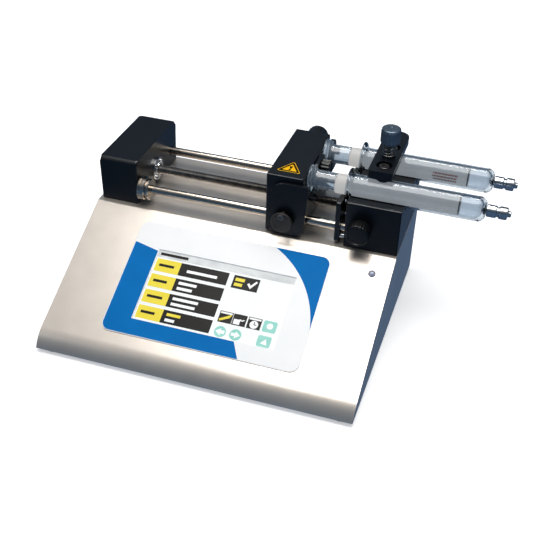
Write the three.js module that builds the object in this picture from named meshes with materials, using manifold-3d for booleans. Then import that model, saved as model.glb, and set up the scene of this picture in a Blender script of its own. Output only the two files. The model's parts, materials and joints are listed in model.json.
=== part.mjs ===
// A twin-syringe infusion pump: a wedge housing with a sloping touch screen, a rod-guided pusher
// block driven by a belt and lead screw, and a cradle that holds two glass syringes.
// Millimetres. X runs along the rods, Y from the front to the back, Z up.
import * as THREE from 'three';
import { mergeVertices } from 'three/addons/utils/BufferGeometryUtils.js';
import Module from 'manifold-3d';

const wasm = await Module();
wasm.setup();

// ---------------------------------------------------------------- driving dimensions
const HOUSING = {
  width: 210.5, nose: 10.58, back: 189.2, top: 55.3, wall: 1.5, slope: 26.4, noseRadius: 20, crestRadius: 2.5,
};
const AXIS = { y: 147.3, z: 66.5 };            // the lead screw's axis, midway between the rods
const ROD = { radius: 3, spread: 28, left: 13, right: 205 };
const SCREW = { radius: 3.3, journal: 2.5, lead: 1.27 };
const SYRINGE = { spread: 18.7, z: 92.5, barrel: 8, bore: 6.8, flange: 11.5, back: 171.7, end: 260 };
const PUSHER = { left: 121, middle: 134, right: 145.5, front: 113.3, back: 180.5, top: 99 };
const CRADLE = { left: 174.5, right: 210.3, front: 113.6, back: 181.4, top: 88.3 };
const DRIVE_END = { left: 1.7, right: 28.7, front: 115.2, back: 184, top: 87.3 };
const MOTOR = { z: 28, half: 21.15, left: 32, right: 66 };
const FOOT = { height: 3, radius: 7, left: 9, right: 201.5, front: 21, back: 174 };
const FIT = 0.3;                               // clearance round a shaft or in a pocket
const TOUCH = 0.1;                             // clearance between faces that meet
const SIDES = 24;                              // facets of a turned piece
const CURVE_STEPS = 5;                         // facets of a rounded corner
const PAST = 1;                                // how far a cutting tool runs past a face

const PAINT = { color: 0xded6cc, roughness: 0.35, metalness: 0.3 };
const ANODISED = { color: 0x14161b, roughness: 0.3, metalness: 0.5 };
const CHROME = { color: 0xd8dadc, roughness: 0.12, metalness: 1 };
const STEEL = { color: 0xa9acb0, roughness: 0.3, metalness: 1 };
const BRONZE = { color: 0x9c7a45, roughness: 0.4, metalness: 1 };
const KNOB = { color: 0x4a5a6a, roughness: 0.35, metalness: 0.6 };
const PLASTIC = { color: 0x17181a, roughness: 0.5, metalness: 0 };
const RUBBER = { color: 0x202020, roughness: 0.9, metalness: 0 };
const GLASS = { color: 0xdfe8ea, roughness: 0.05, metalness: 0 };
const FROSTED = { color: 0xd9dcda, roughness: 0.6, metalness: 0 };
const LABEL = { color: 0x0a78c3, roughness: 0.3, metalness: 0 };
const BOARD = { color: 0x1c5a34, roughness: 0.6, metalness: 0 };
const GREY = { color: 0x4c4c4e, roughness: 0.45, metalness: 0.2 };

// ---------------------------------------------------------------- solids
// A geometry with shared vertices and no empty triangles, facing outwards, as a solid.
function solid(geometry) {
  geometry.deleteAttribute('normal');
  geometry.deleteAttribute('uv');
  const merged = mergeVertices(geometry, 1e-4);
  const places = merged.attributes.position.array;
  const corners = [];
  let volume = 0;
  for (let i = 0; i < merged.index.count; i += 3) {
    const [a, b, c] = [0, 1, 2].map((k) => merged.index.getX(i + k));
    if (a === b || b === c || c === a) continue;
    corners.push([a, b, c]);
    const [p, q, r] = [a, b, c].map((k) => new THREE.Vector3().fromArray(places, 3 * k));
    volume += p.dot(q.cross(r));
  }
  if (volume < 0) corners.forEach((corner) => corner.reverse());
  const triVerts = new Uint32Array(corners.flat());
  return new wasm.Manifold(new wasm.Mesh({ numProp: 3, vertProperties: places, triVerts }));
}

function joined(first, ...others) {
  return others.reduce((whole, piece) => whole.add(piece), first);
}

function cut(whole, ...tools) {
  return tools.reduce((rest, tool) => rest.subtract(tool), whole);
}

function node(name, shape, look) {
  const mesh = shape.getMesh();
  const geometry = new THREE.BufferGeometry();
  geometry.setAttribute('position', new THREE.BufferAttribute(new Float32Array(mesh.vertProperties), 3));
  geometry.setIndex(new THREE.BufferAttribute(new Uint32Array(mesh.triVerts), 1));
  geometry.computeVertexNormals();
  const piece = new THREE.Mesh(geometry, new THREE.MeshStandardMaterial(look));
  piece.name = name;
  return piece;
}

function box(x0, x1, y0, y1, z0, z1) {
  const geometry = new THREE.BoxGeometry(x1 - x0, y1 - y0, z1 - z0);
  geometry.translate((x0 + x1) / 2, (y0 + y1) / 2, (z0 + z1) / 2);
  return solid(geometry);
}

// Extrusions of an outline drawn in the plane square to each axis.
const X = new THREE.Vector3(1, 0, 0);
const Y = new THREE.Vector3(0, 1, 0);
const Z = new THREE.Vector3(0, 0, 1);

function prism(outline, length, basis, start) {
  const geometry = new THREE.ExtrudeGeometry(outline, {
    depth: length, bevelEnabled: false, curveSegments: CURVE_STEPS,
  });
  geometry.applyMatrix4(basis);
  geometry.translate(start.x, start.y, start.z);
  return solid(geometry);
}

function prismX(outline, x0, x1) {
  return prism(outline, x1 - x0, new THREE.Matrix4().makeBasis(Y, Z, X), new THREE.Vector3(x0, 0, 0));
}

function prismY(outline, y0, y1) {
  const basis = new THREE.Matrix4().makeBasis(X, Z, Y.clone().negate());
  return prism(outline, y1 - y0, basis, new THREE.Vector3(0, y1, 0));
}

function prismZ(outline, z0, z1) {
  return prism(outline, z1 - z0, new THREE.Matrix4(), new THREE.Vector3(0, 0, z0));
}

// A turned piece: profile holds [distance along the axis, radius], and starts and ends on the axis
// or closes on itself.
function turned(profile, sides) {
  const points = profile.map(([along, radius]) => new THREE.Vector2(radius, along));
  return new THREE.LatheGeometry(points, sides);
}

function turnedX(y, z, profile, sides = SIDES) {
  const geometry = turned(profile, sides);
  geometry.rotateZ(-Math.PI / 2);
  geometry.translate(0, y, z);
  return solid(geometry);
}

function turnedY(x, z, profile, sides = SIDES) {
  const geometry = turned(profile, sides);
  geometry.translate(x, 0, z);
  return solid(geometry);
}

function turnedZ(x, y, profile, sides = SIDES) {
  const geometry = turned(profile, sides);
  geometry.rotateX(Math.PI / 2);
  geometry.translate(x, y, 0);
  return solid(geometry);
}

function rodProfile(from, to, radius) {
  return [[from, 0], [from, radius], [to, radius], [to, 0]];
}

function ringProfile(from, to, inner, outer) {
  return [[from, inner], [from, outer], [to, outer], [to, inner], [from, inner]];
}

// A polygon with its corners rounded: corners holds [u, v, radius].
function rounded(corners) {
  const outline = new THREE.Shape();
  corners.forEach(([u, v, radius], i) => {
    const corner = new THREE.Vector2(u, v);
    const [before, after] = [corners.length - 1, 1].map((step) => {
      const [pu, pv] = corners[(i + step) % corners.length];
      return new THREE.Vector2(pu, pv).sub(corner).normalize();
    });
    const half = Math.acos(THREE.MathUtils.clamp(before.dot(after), -1, 1)) / 2;
    const reach = radius / Math.tan(half);
    const enter = before.multiplyScalar(reach).add(corner);
    const leave = after.multiplyScalar(reach).add(corner);
    if (i === 0) outline.moveTo(enter.x, enter.y);
    else outline.lineTo(enter.x, enter.y);
    if (radius > 0) outline.quadraticCurveTo(u, v, leave.x, leave.y);
  });
  outline.closePath();
  return outline;
}

function roundedRect(u0, u1, v0, v1, radius) {
  return rounded([[u0, v0, radius], [u1, v0, radius], [u1, v1, radius], [u0, v1, radius]]);
}

// ---------------------------------------------------------------- housing
const SLOPE = THREE.MathUtils.degToRad(HOUSING.slope);
const SLOPE_BASIS = new THREE.Matrix4().makeBasis(
  X, new THREE.Vector3(0, Math.cos(SLOPE), Math.sin(SLOPE)),
  new THREE.Vector3(0, -Math.sin(SLOPE), Math.cos(SLOPE)));
const SCREEN = { left: 56.5, right: 152, low: 43.5, high: 96 };
const OVERLAY = { left: 38.2, right: 170.5, low: 31.5, high: 115, corner: 6, thick: 0.5 };
const LED = { x: 198, up: 109, radius: 2.2 };
const BELT_SLOT = { left: 5, right: 17.5, half: 12 };
const REAR_PANEL = { left: 14, right: 196, low: 5, high: 49 };

// A flat plate on the slope: outline in X and distance up the slope, between two heights above it.
function onSlope(outline, low, high) {
  const lift = new THREE.Vector3(0, 0, low).applyMatrix4(SLOPE_BASIS);
  return prism(outline, high - low, SLOPE_BASIS, lift);
}

// The wedge's side outline in Y and Z, moved in from the outside by inset. It runs on below the
// housing, so that the big curve of the nose is cut off where the base is.
function wedge(inset) {
  const { nose, back, top, noseRadius, crestRadius } = HOUSING;
  const low = -10;
  const slopeBack = inset / Math.sin(SLOPE);
  const noseZ = (nose + inset - slopeBack) * Math.tan(SLOPE);
  const crestY = (top - inset) / Math.tan(SLOPE) + slopeBack;
  return rounded([
    [nose + inset, low, 0], [back - inset, low, 0], [back - inset, top - inset, crestRadius],
    [crestY, top - inset, crestRadius], [nose + inset, noseZ, noseRadius - inset]]);
}

function housingShell() {
  const { width, wall, back, top } = HOUSING;
  const light = LED.radius + FIT;
  return cut(
    prismX(wedge(0), 0, width),
    box(-PAST, width + PAST, 0, back + PAST, -20, 0),
    prismX(wedge(wall), wall, width - wall),
    onSlope(roundedRect(SCREEN.left - 2, SCREEN.right + 2, SCREEN.low - 2, SCREEN.high + 2, 1), -4, 4),
    onSlope(roundedRect(LED.x - light, LED.x + light, LED.up - light, LED.up + light, light), -4, 4),
    box(BELT_SLOT.left, BELT_SLOT.right, AXIS.y - BELT_SLOT.half, AXIS.y + BELT_SLOT.half, top - 4, top + 4),
    box(REAR_PANEL.left, REAR_PANEL.right, back - 4, back + 4, REAR_PANEL.low, REAR_PANEL.high));
}

function basePlate() {
  const { width, wall, back } = HOUSING;
  const inset = wall + FIT;
  return prismX(wedge(inset), inset, width - inset).intersect(box(0, width, 0, back, 0, wall));
}

function foot(x, y) {
  const { height, radius } = FOOT;
  return turnedZ(x, y, [
    [-height, 0], [-height, radius - 1], [-height + 1, radius], [-TOUCH, radius], [-TOUCH, 0]]);
}

function feet() {
  const { left, right, front, back } = FOOT;
  const places = {
    front_left: [left, front], front_right: [right, front],
    rear_left: [left, back], rear_right: [right, back],
  };
  return Object.entries(places).map(([name, [x, y]]) => node(`foot_${name}`, foot(x, y), RUBBER));
}

// ---------------------------------------------------------------- rear panel and its connectors
const CONNECTOR_Z = 27;
const CONNECTORS = {
  dc_inlet: { x: 176, width: 11, height: 11, depth: 12, hole: 8.4 },
  usb_socket: { x: 122, width: 12, height: 11, depth: 14, hole: 8 },
  serial_socket_in: { x: 96, width: 13, height: 12, depth: 14, hole: 9 },
  serial_socket_out: { x: 76, width: 13, height: 12, depth: 14, hole: 9 },
  control_socket: { x: 46, width: 32, height: 12, depth: 10, hole: 6 },
};
const SWITCH = { x: 151, width: 13, height: 19, depth: 11 };

function panelHole({ x, width, height }) {
  const { back } = HOUSING;
  return box(x - width / 2 - FIT, x + width / 2 + FIT, back - 4, back + 4,
    CONNECTOR_Z - height / 2 - FIT, CONNECTOR_Z + height / 2 + FIT);
}

function rearPanel() {
  const { back, wall } = HOUSING;
  const plate = box(REAR_PANEL.left + FIT, REAR_PANEL.right - FIT, back - wall, back - TOUCH,
    REAR_PANEL.low + FIT, REAR_PANEL.high - FIT);
  return cut(plate, ...Object.values(CONNECTORS).map(panelHole), panelHole(SWITCH));
}

// A socket body with its mouth open to the back.
function socket({ x, width, height, depth, hole }) {
  const { back } = HOUSING;
  const margin = 1.5;
  const body = box(x - width / 2, x + width / 2, back - depth, back + 1,
    CONNECTOR_Z - height / 2, CONNECTOR_Z + height / 2);
  const mouth = box(x - width / 2 + margin, x + width / 2 - margin, back - depth + 2, back + 2,
    CONNECTOR_Z - hole / 2, CONNECTOR_Z + hole / 2);
  return cut(body, mouth);
}

function dcInlet({ x, width, depth, hole }) {
  const { back } = HOUSING;
  const half = width / 2;
  const body = box(x - half, x + half, back - depth, back + 1, CONNECTOR_Z - half, CONNECTOR_Z + half);
  const bore = turnedY(x, CONNECTOR_Z, rodProfile(back - depth + 2, back + 2, hole / 2), 24);
  const pin = turnedY(x, CONNECTOR_Z, rodProfile(back - depth + 1, back - 1, 1), 12);
  return joined(cut(body, bore), pin);
}

function switchFrame() {
  const { back } = HOUSING;
  const { x, width, height, depth } = SWITCH;
  const edge = 1.2;
  const body = box(x - width / 2, x + width / 2, back - depth, back + edge,
    CONNECTOR_Z - height / 2, CONNECTOR_Z + height / 2);
  const well = box(x - width / 2 + edge, x + width / 2 - edge, back - depth + 2, back + 2,
    CONNECTOR_Z - height / 2 + edge, CONNECTOR_Z + height / 2 - edge);
  return cut(body, well);
}

// The rocker: a shallow V whose upper half is pressed in at rest; it tips about a line along X.
function rocker() {
  const { back } = HOUSING;
  const { x, width, height } = SWITCH;
  const half = height / 2 - 2.6;
  const outline = rounded([
    [back - 6, CONNECTOR_Z - half + 1.5, 0], [back + 2.6, CONNECTOR_Z - half, 0.5],
    [back + 0.4, CONNECTOR_Z, 0.5], [back + 0.2, CONNECTOR_Z + half, 0.5],
    [back - 6, CONNECTOR_Z + half - 1.5, 0]]);
  return prismX(outline, x - width / 2 + 1.7, x + width / 2 - 1.7);
}

function connectors() {
  const { dc_inlet: inlet, ...sockets } = CONNECTORS;
  return [
    node('dc_inlet', dcInlet(inlet), PLASTIC),
    node('power_switch_frame', switchFrame(), PLASTIC),
    node('power_rocker', rocker(), PLASTIC),
    ...Object.entries(sockets).map(([name, size]) => node(name, socket(size), STEEL)),
  ];
}

// ---------------------------------------------------------------- screen, overlay, light and board
function overlay() {
  const { left, right, low, high, corner, thick } = OVERLAY;
  const plate = onSlope(roundedRect(left, right, low, high, corner), TOUCH, TOUCH + thick);
  return cut(plate, onSlope(roundedRect(SCREEN.left, SCREEN.right, SCREEN.low, SCREEN.high, 0.6), -1, 2));
}

function touchPanel() {
  const { left, right, low, high } = SCREEN;
  return onSlope(roundedRect(left - 1.5, right + 1.5, low - 1.5, high + 1.5, 1), -1.3, -0.1);
}

function displayModule() {
  const { left, right, low, high } = SCREEN;
  return onSlope(roundedRect(left - 4, right + 4, low - 5, high + 5, 1), -6, -1.3 - 2 * FIT);
}

function statusLight() {
  const profile = [[-3, 0], [-3, LED.radius], [0.3, LED.radius], [1, LED.radius * 0.7], [1.2, 0]];
  const geometry = turned(profile, 20);
  geometry.rotateX(Math.PI / 2);
  geometry.translate(LED.x, LED.up, 0);
  geometry.applyMatrix4(SLOPE_BASIS);
  return solid(geometry);
}

function mainBoard() {
  const plate = box(76, 200, 96, 176, 8, 9.6);
  const pillars = [[80, 100], [196, 100], [80, 172], [196, 172]].map(([x, y]) =>
    turnedZ(x, y, rodProfile(HOUSING.wall + TOUCH, 8.5, 2.5), 12));
  return joined(plate, ...pillars);
}

// ---------------------------------------------------------------- drive: motor, belt and lead screw
const PULLEY = { left: 7.5, right: 15.5, screwRadius: 7.5, motorRadius: 4.9, rim: 1.2, rimWide: 1 };
const BELT = { left: 9, right: 14, thick: 1.3 };

function pulleyProfile(radius, bore) {
  const { left, right, rim, rimWide } = PULLEY;
  return [
    [left, bore], [left, radius + rim], [left + rimWide, radius + rim], [left + rimWide, radius],
    [right - rimWide, radius], [right - rimWide, radius + rim], [right, radius + rim], [right, bore],
    [left, bore]];
}

function screwPulley() {
  return turnedX(AXIS.y, AXIS.z, pulleyProfile(PULLEY.screwRadius, SCREW.journal + FIT));
}

function motorBody() {
  const { z, half, left, right } = MOTOR;
  const corner = 4;
  const body = prismX(roundedRect(AXIS.y - half, AXIS.y + half, z - half, z + half, corner), left, right);
  return cut(body, turnedX(AXIS.y, z, rodProfile(left - 1, right - 4, SCREW.journal + FIT)));
}

function motorBracket() {
  const { z, half, left } = MOTOR;
  const thick = 2.5;
  const [front, back] = [AXIS.y - half - 3, AXIS.y + half + 3];
  const low = HOUSING.wall + TOUCH;
  const plate = box(left - TOUCH - thick, left - TOUCH, front, back, low, z + half + 3);
  const flange = box(left - TOUCH - thick, left + 12, front, back, low, low + thick);
  return cut(joined(plate, flange), turnedX(AXIS.y, z, rodProfile(left - 6, left + 1, 11)));
}

function motorRotor() {
  const shaft = turnedX(AXIS.y, MOTOR.z, rodProfile(PULLEY.left - 1, MOTOR.right - 6, SCREW.journal));
  return joined(shaft, turnedX(AXIS.y, MOTOR.z, pulleyProfile(PULLEY.motorRadius, 1)));
}

// The belt's outline: two arcs joined by the straight runs that touch both pulleys.
function beltOutline(outward) {
  const upper = PULLEY.screwRadius + FIT + outward;
  const lower = PULLEY.motorRadius + FIT + outward;
  const tilt = Math.asin((upper - lower) / (AXIS.z - MOTOR.z));
  const outline = new THREE.Shape();
  outline.absarc(AXIS.y, AXIS.z, upper, -tilt, Math.PI + tilt, false);
  outline.absarc(AXIS.y, MOTOR.z, lower, Math.PI + tilt, 2 * Math.PI - tilt, false);
  outline.closePath();
  return outline;
}

function belt() {
  return cut(
    prismX(beltOutline(BELT.thick), BELT.left, BELT.right),
    prismX(beltOutline(0), BELT.left - PAST, BELT.right + PAST));
}

function leadScrew() {
  const { radius, journal } = SCREW;
  return turnedX(AXIS.y, AXIS.z, [
    [5.5, 0], [5.5, journal], [28, journal], [28, radius], [196, radius], [196.5, radius - 0.5],
    [196.5, 0]]);
}

function driveEnd() {
  const { left, right, front, back, top } = DRIVE_END;
  const floor = HOUSING.top + TOUCH;
  const outline = rounded([[front, floor, 0], [back, floor, 0], [back, top, 3], [front, top, 3]]);
  return cut(
    prismX(outline, left, right),
    box(left + 2.5, 18.5, AXIS.y - 13, AXIS.y + 13, floor - 1, top - 6),
    ...rodYs().map((y) => turnedX(y, AXIS.z, rodProfile(ROD.left - FIT, right + 1, ROD.radius + FIT))),
    turnedX(AXIS.y, AXIS.z, rodProfile(18, right + 1, 5)),
    turnedX(AXIS.y, AXIS.z, rodProfile(21, right + 1, 8 + FIT)));
}

function rodYs() {
  return [AXIS.y - ROD.spread, AXIS.y + ROD.spread];
}

function screwBearing() {
  return turnedX(AXIS.y, AXIS.z, ringProfile(21.3, 27.6, SCREW.journal + FIT, 8));
}

function bearingRetainer() {
  const left = DRIVE_END.right + TOUCH;
  const ring = turnedX(AXIS.y, AXIS.z, ringProfile(left, left + 1.8, SCREW.radius + FIT, 8.2));
  const heads = [45, 135, 225, 315].map((degrees) => {
    const angle = THREE.MathUtils.degToRad(degrees);
    const [y, z] = [AXIS.y + 6 * Math.cos(angle), AXIS.z + 6 * Math.sin(angle)];
    return turnedX(y, z, rodProfile(left + 1, left + 3, 1.3), 10);
  });
  return joined(ring, ...heads);
}

function stopCollar() {
  const left = DRIVE_END.right + 0.5;
  const bore = ROD.radius + FIT;
  const profile = [
    [left, bore], [left, 7.6], [left + 0.6, 8.2], [left + 4.8, 8.2], [left + 5.4, 7.6], [left + 5.4, 6.2],
    [left + 6, 7.4], [left + 7.6, 7.4], [left + 8, 7], [left + 8, bore], [left, bore]];
  return turnedX(rodYs()[0], AXIS.z, profile);
}

// ---------------------------------------------------------------- pusher block
const MIDDLE = PUSHER.middle;
const BUSHING_RADIUS = 4.7;
const RELEASE = {
  z: 73.3, stem: 1.4, travel: 3, disc: 68.6, discRadius: 7.25, discFront: 105.8, discBack: 107.3,
  screwRadius: 2.2, screwFront: 104.9,
};
const NUT = { half: 5.7, front: AXIS.y - 10.3, back: AXIS.y + 11.7, low: 59.5, high: 76 };
const BRACKET = {
  left: 146, web: 148.5, tabLeft: 150.2, right: 152.5, low: 80.5, bar: 83, tab: 85.8, top: 97,
  front: 120.5, back: 184, half: 8.8, z: 91.6, knobRadius: 5.5,
};
const REAR_KNOB = { z: 90.4, radius: 7.6 };
const COVER = { left: 124.8, right: 150.5, low: 58, top: 95.2, thick: 2.6 };

function pusherBlock() {
  const { left, right, front, back, top } = PUSHER;
  const low = HOUSING.top + 1.1;
  const outline = rounded([[front, low, 1], [back, low, 1], [back, top, 0.8], [front, top, 0.8]]);
  return cut(
    prismX(outline, left, right),
    ...rodYs().map((y) => turnedX(y, AXIS.z, rodProfile(left - 1, right + 1, BUSHING_RADIUS + FIT))),
    turnedX(AXIS.y, AXIS.z, rodProfile(left - 1, right + 1, SCREW.radius + 2 * FIT)),
    box(
      MIDDLE - NUT.half - FIT, MIDDLE + NUT.half + FIT, NUT.front - 1, NUT.back + RELEASE.travel + 8,
      low - PAST, NUT.high + FIT),
    turnedY(MIDDLE, RELEASE.z, rodProfile(front - 1, AXIS.y, RELEASE.stem + FIT), 16),
    turnedY(MIDDLE, REAR_KNOB.z, rodProfile(back - 9, back + 1, 2 + FIT), 16),
    turnedX(AXIS.y, BRACKET.z, rodProfile(right - 9, right + 1, 2 + FIT), 16));
}

function pusherCover() {
  const { front } = PUSHER;
  const { left, right, low, top, thick } = COVER;
  const outline = rounded([[left, low, 2], [right - 3.3, low, 4], [right, top, 0.5], [left, top, 8]]);
  return cut(
    prismY(outline, front - TOUCH - thick, front - TOUCH),
    turnedY(MIDDLE, RELEASE.z, rodProfile(front - 4, front + 1, RELEASE.stem + FIT), 16));
}

function bushing(y) {
  const { left, right } = PUSHER;
  return turnedX(y, AXIS.z, ringProfile(left + 0.2, right + 1.6, ROD.radius + 0.2, BUSHING_RADIUS));
}

function releaseButton() {
  const { z, stem, disc, discRadius, discFront, discBack, screwRadius, screwFront } = RELEASE;
  const face = turnedY(MIDDLE, disc, [
    [discFront, 0], [discFront, discRadius - 0.6], [discFront + 0.6, discRadius], [discBack, discRadius],
    [discBack, 0]]);
  return joined(
    face, turnedY(MIDDLE, z, rodProfile(screwFront, discFront + 0.5, screwRadius), 16),
    turnedY(MIDDLE, z, rodProfile(discBack - 1, NUT.front - TOUCH, stem), 16));
}

// The half nut bears on the screw from behind, and leaves it when the button moves it back.
function halfNut() {
  const { half, front, back, low, high } = NUT;
  const opening = SCREW.radius + 0.2;
  const hole = roundedRect(
    AXIS.y - opening - RELEASE.travel - 0.5, AXIS.y + opening,
    AXIS.z - opening, AXIS.z + opening, opening * 0.9);
  return cut(
    box(MIDDLE - half, MIDDLE + half, front, back, low, high),
    prismX(hole, MIDDLE - half - PAST, MIDDLE + half + PAST));
}

// A coil spring: a round wire along a helix from the origin up its axis.
function coil(length, radius, wire, turns, sides = 5, steps = 9) {
  class Helix extends THREE.Curve {
    getPoint(t, target = new THREE.Vector3()) {
      const angle = 2 * Math.PI * turns * t;
      return target.set(radius * Math.cos(angle), radius * Math.sin(angle), wire + (length - 2 * wire) * t);
    }
  }
  const section = new THREE.Shape();
  for (let i = 0; i < sides; i += 1) {
    const angle = (2 * Math.PI * i) / sides;
    section[i ? 'lineTo' : 'moveTo'](wire * Math.cos(angle), wire * Math.sin(angle));
  }
  section.closePath();
  return new THREE.ExtrudeGeometry(section, {
    steps: steps * turns, extrudePath: new Helix(), bevelEnabled: false,
  });
}

function releaseSpring() {
  const geometry = coil(10.4, 3.2, 0.4, 4);
  geometry.rotateX(-Math.PI / 2);
  geometry.translate(MIDDLE, NUT.back + 0.2, (NUT.low + NUT.high) / 2);
  return solid(geometry);
}

function rearKnob() {
  const { radius, z } = REAR_KNOB;
  const face = PUSHER.back + 0.4;
  return turnedY(MIDDLE, z, [
    [face - 8, 0], [face - 8, 2], [face, 2], [face, radius - 1], [face + 1, radius], [face + 11, radius],
    [face + 12, radius - 1], [face + 12, 0]]);
}

// The plunger bracket: a bar under both plungers' flanges, a web between them that the knob pulls
// in, and a tab up in front of each flange so that the bracket can draw the plungers back.
function plungerBracket() {
  const { left, web, tabLeft, right, low, bar, tab, front, back, top, half, z } = BRACKET;
  const outer = SYRINGE.spread + 10;
  const crossBar = prismX(roundedRect(front, back, low, bar, 1), left, right);
  const tabs = syringeYs().map((y) => prismX(roundedRect(y - 6, y + 6, low, tab, 1.5), tabLeft, right));
  const webPlate = prismX(roundedRect(AXIS.y - half, AXIS.y + half, low, top, 1.5), left, web);
  const end = prismX(roundedRect(AXIS.y + outer, back, low, top - 2, 3), left, right);
  return cut(
    joined(crossBar, webPlate, ...tabs, end),
    turnedX(AXIS.y, z, rodProfile(left - PAST, web + PAST, 2.3), 16));
}

function bracketKnob() {
  const { web, z, knobRadius } = BRACKET;
  const face = web + 0.3;
  return turnedX(AXIS.y, z, [
    [PUSHER.right - 8, 0], [PUSHER.right - 8, 2], [face, 2], [face, knobRadius - 0.6],
    [face + 0.6, knobRadius], [face + 5.6, knobRadius], [face + 6.2, knobRadius - 0.6], [face + 6.2, 0]], 24);
}

// ---------------------------------------------------------------- syringe cradle
const STUD = { x: 192.5, radius: 2.5, top: 124.5 };
const CLAMP = {
  left: 183.9, right: 200, front: 124.7, back: 184, low: 102.5, top: 108, pad: 193.8, padRadius: 5.5,
};
const CLAMP_KNOB = { low: 118, top: 128, radius: 6.4 };
const RETAINER = { left: 167.9, right: 170.9, low: 57, high: 86.4 };
const RETAINER_PINS = { front: [126.5, 72], low: [117.5, 60.9], rear: [168.1, 72] };
const PIN = { radius: 1.5, reach: 12 };
const RETAINER_KNOB = { x: 184.8, z: 71, radius: 7.7, front: 103.6, stem: 1.2 };
const CLAMP_SCREWS = { front: AXIS.y - 12.9, rear: AXIS.y + 12.9 };

function syringeYs() {
  return [AXIS.y - SYRINGE.spread, AXIS.y + SYRINGE.spread];
}

function cradle() {
  const { left, right, front, back, top } = CRADLE;
  const depth = (SYRINGE.barrel + FIT) * Math.SQRT2;
  const root = SYRINGE.z - depth;
  const rise = top + 1 - root;
  const vees = syringeYs().map((y) => {
    const groove = rounded([[y, root, 0], [y + rise, root + rise, 0], [y - rise, root + rise, 0]]);
    return prismX(groove, left - PAST, right + PAST);
  });
  const pins = Object.values(RETAINER_PINS).map(([y, z]) =>
    turnedX(y, z, rodProfile(left - 1, left + PIN.reach + 1, PIN.radius + FIT), 12));
  const floor = HOUSING.top + TOUCH;
  const outline = rounded([[front, floor, 0], [back, floor, 0], [back, top, 0.8], [front, top, 0.8]]);
  return cut(
    prismX(outline, left, right), ...vees, ...pins,
    ...rodYs().map((y) => turnedX(y, AXIS.z, rodProfile(left - 1, ROD.right + FIT, ROD.radius + FIT))),
    turnedX(AXIS.y, AXIS.z, rodProfile(left - 1, 198, SCREW.radius + 2 * FIT)),
    turnedZ(STUD.x, AXIS.y, rodProfile(76 - FIT, top + 1, STUD.radius + FIT), 16),
    turnedY(RETAINER_KNOB.x, RETAINER_KNOB.z, rodProfile(front - 1, 124.8, RETAINER_KNOB.stem + FIT), 16));
}

function flangeRetainer() {
  const { left, right, low, high } = RETAINER;
  const outline = roundedRect(CRADLE.front + 0.4, CRADLE.back - 0.4, low, high, 1.5);
  return cut(
    prismX(outline, left, right),
    ...rodYs().map((y) => turnedX(y, AXIS.z, rodProfile(left - 1, right + 1, ROD.radius + 2 * FIT))),
    turnedX(AXIS.y, AXIS.z, rodProfile(left - 1, right + 1, SCREW.radius + 2 * FIT)),
    ...syringeYs().map((y) => turnedX(y, SYRINGE.z, rodProfile(left - 1, right + 1, SYRINGE.bore + 0.6))));
}

function retainerPins() {
  return Object.entries(RETAINER_PINS).map(([name, [y, z]]) => node(`retainer_pin_${name}`,
    turnedX(y, z, rodProfile(RETAINER.right + TOUCH, CRADLE.left + PIN.reach - 6, PIN.radius), 12), CHROME));
}

function retainerKnob() {
  const { x, z, radius, front, stem } = RETAINER_KNOB;
  const back = CRADLE.front - 0.4;
  return turnedY(x, z, [
    [front, 0], [front, radius - 1], [front + 1, radius], [back - 0.8, radius], [back, radius - 0.8],
    [back, stem], [124.5, stem], [124.5, 0]]);
}

function clampBar() {
  const { left, right, front, back, low, top } = CLAMP;
  const outline = rounded([[left, front, 1.5], [right, front, 1.5], [right, back, 6], [left, back, 6]]);
  const counterbores = Object.values(CLAMP_SCREWS).map((y) => joined(
    turnedZ(STUD.x, y, rodProfile(top - 3.2, top + PAST, 5.2), 24),
    turnedZ(STUD.x, y, rodProfile(low - PAST, top, 2), 16)));
  return cut(
    prismZ(outline, low, top),
    turnedZ(STUD.x, AXIS.y, rodProfile(low - PAST, top + PAST, 3), 20), ...counterbores);
}

// The pad under the bar: a half-round strip that meets the barrels' crowns.
function clampPad() {
  const { front, back, low, pad, padRadius } = CLAMP;
  const bottom = SYRINGE.z + SYRINGE.barrel + TOUCH;
  const strip = turnedY(pad, bottom + padRadius, rodProfile(front + 0.3, back - 3, padRadius), 40);
  const whole = cut(strip, box(pad - 10, pad + 10, front - 1, back + 1, low - TOUCH, low + 20));
  return cut(whole, turnedZ(STUD.x, AXIS.y, rodProfile(bottom - 1, low + 1, 3), 20));
}

function clampScrew(y) {
  const { low, top } = CLAMP;
  return turnedZ(STUD.x, y, [
    [low + 0.2, 0], [low + 0.2, 1.7], [top - 3, 1.7], [top - 3, 3.4], [top - 0.4, 3.4], [top - 0.4, 1.5],
    [top - 1.8, 1.5], [top - 1.8, 0]], 20);
}

function clampStud() {
  return turnedZ(STUD.x, AXIS.y, rodProfile(76, STUD.top, STUD.radius), 20);
}

function clampSpring() {
  const gap = 0.3;
  const geometry = coil(CLAMP_KNOB.low - CLAMP.top - 2 * gap, 4.1, 0.5, 4);
  geometry.translate(STUD.x, AXIS.y, CLAMP.top + gap);
  return solid(geometry);
}

function clampKnob() {
  const { low, top, radius } = CLAMP_KNOB;
  const bore = STUD.radius + FIT;
  const roof = STUD.top + FIT;
  return turnedZ(STUD.x, AXIS.y, [
    [roof, 0], [roof, bore], [low, bore], [low, radius - 0.6], [low + 0.6, radius], [top - 0.8, radius],
    [top, radius - 0.8], [top, 0]]);
}

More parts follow.
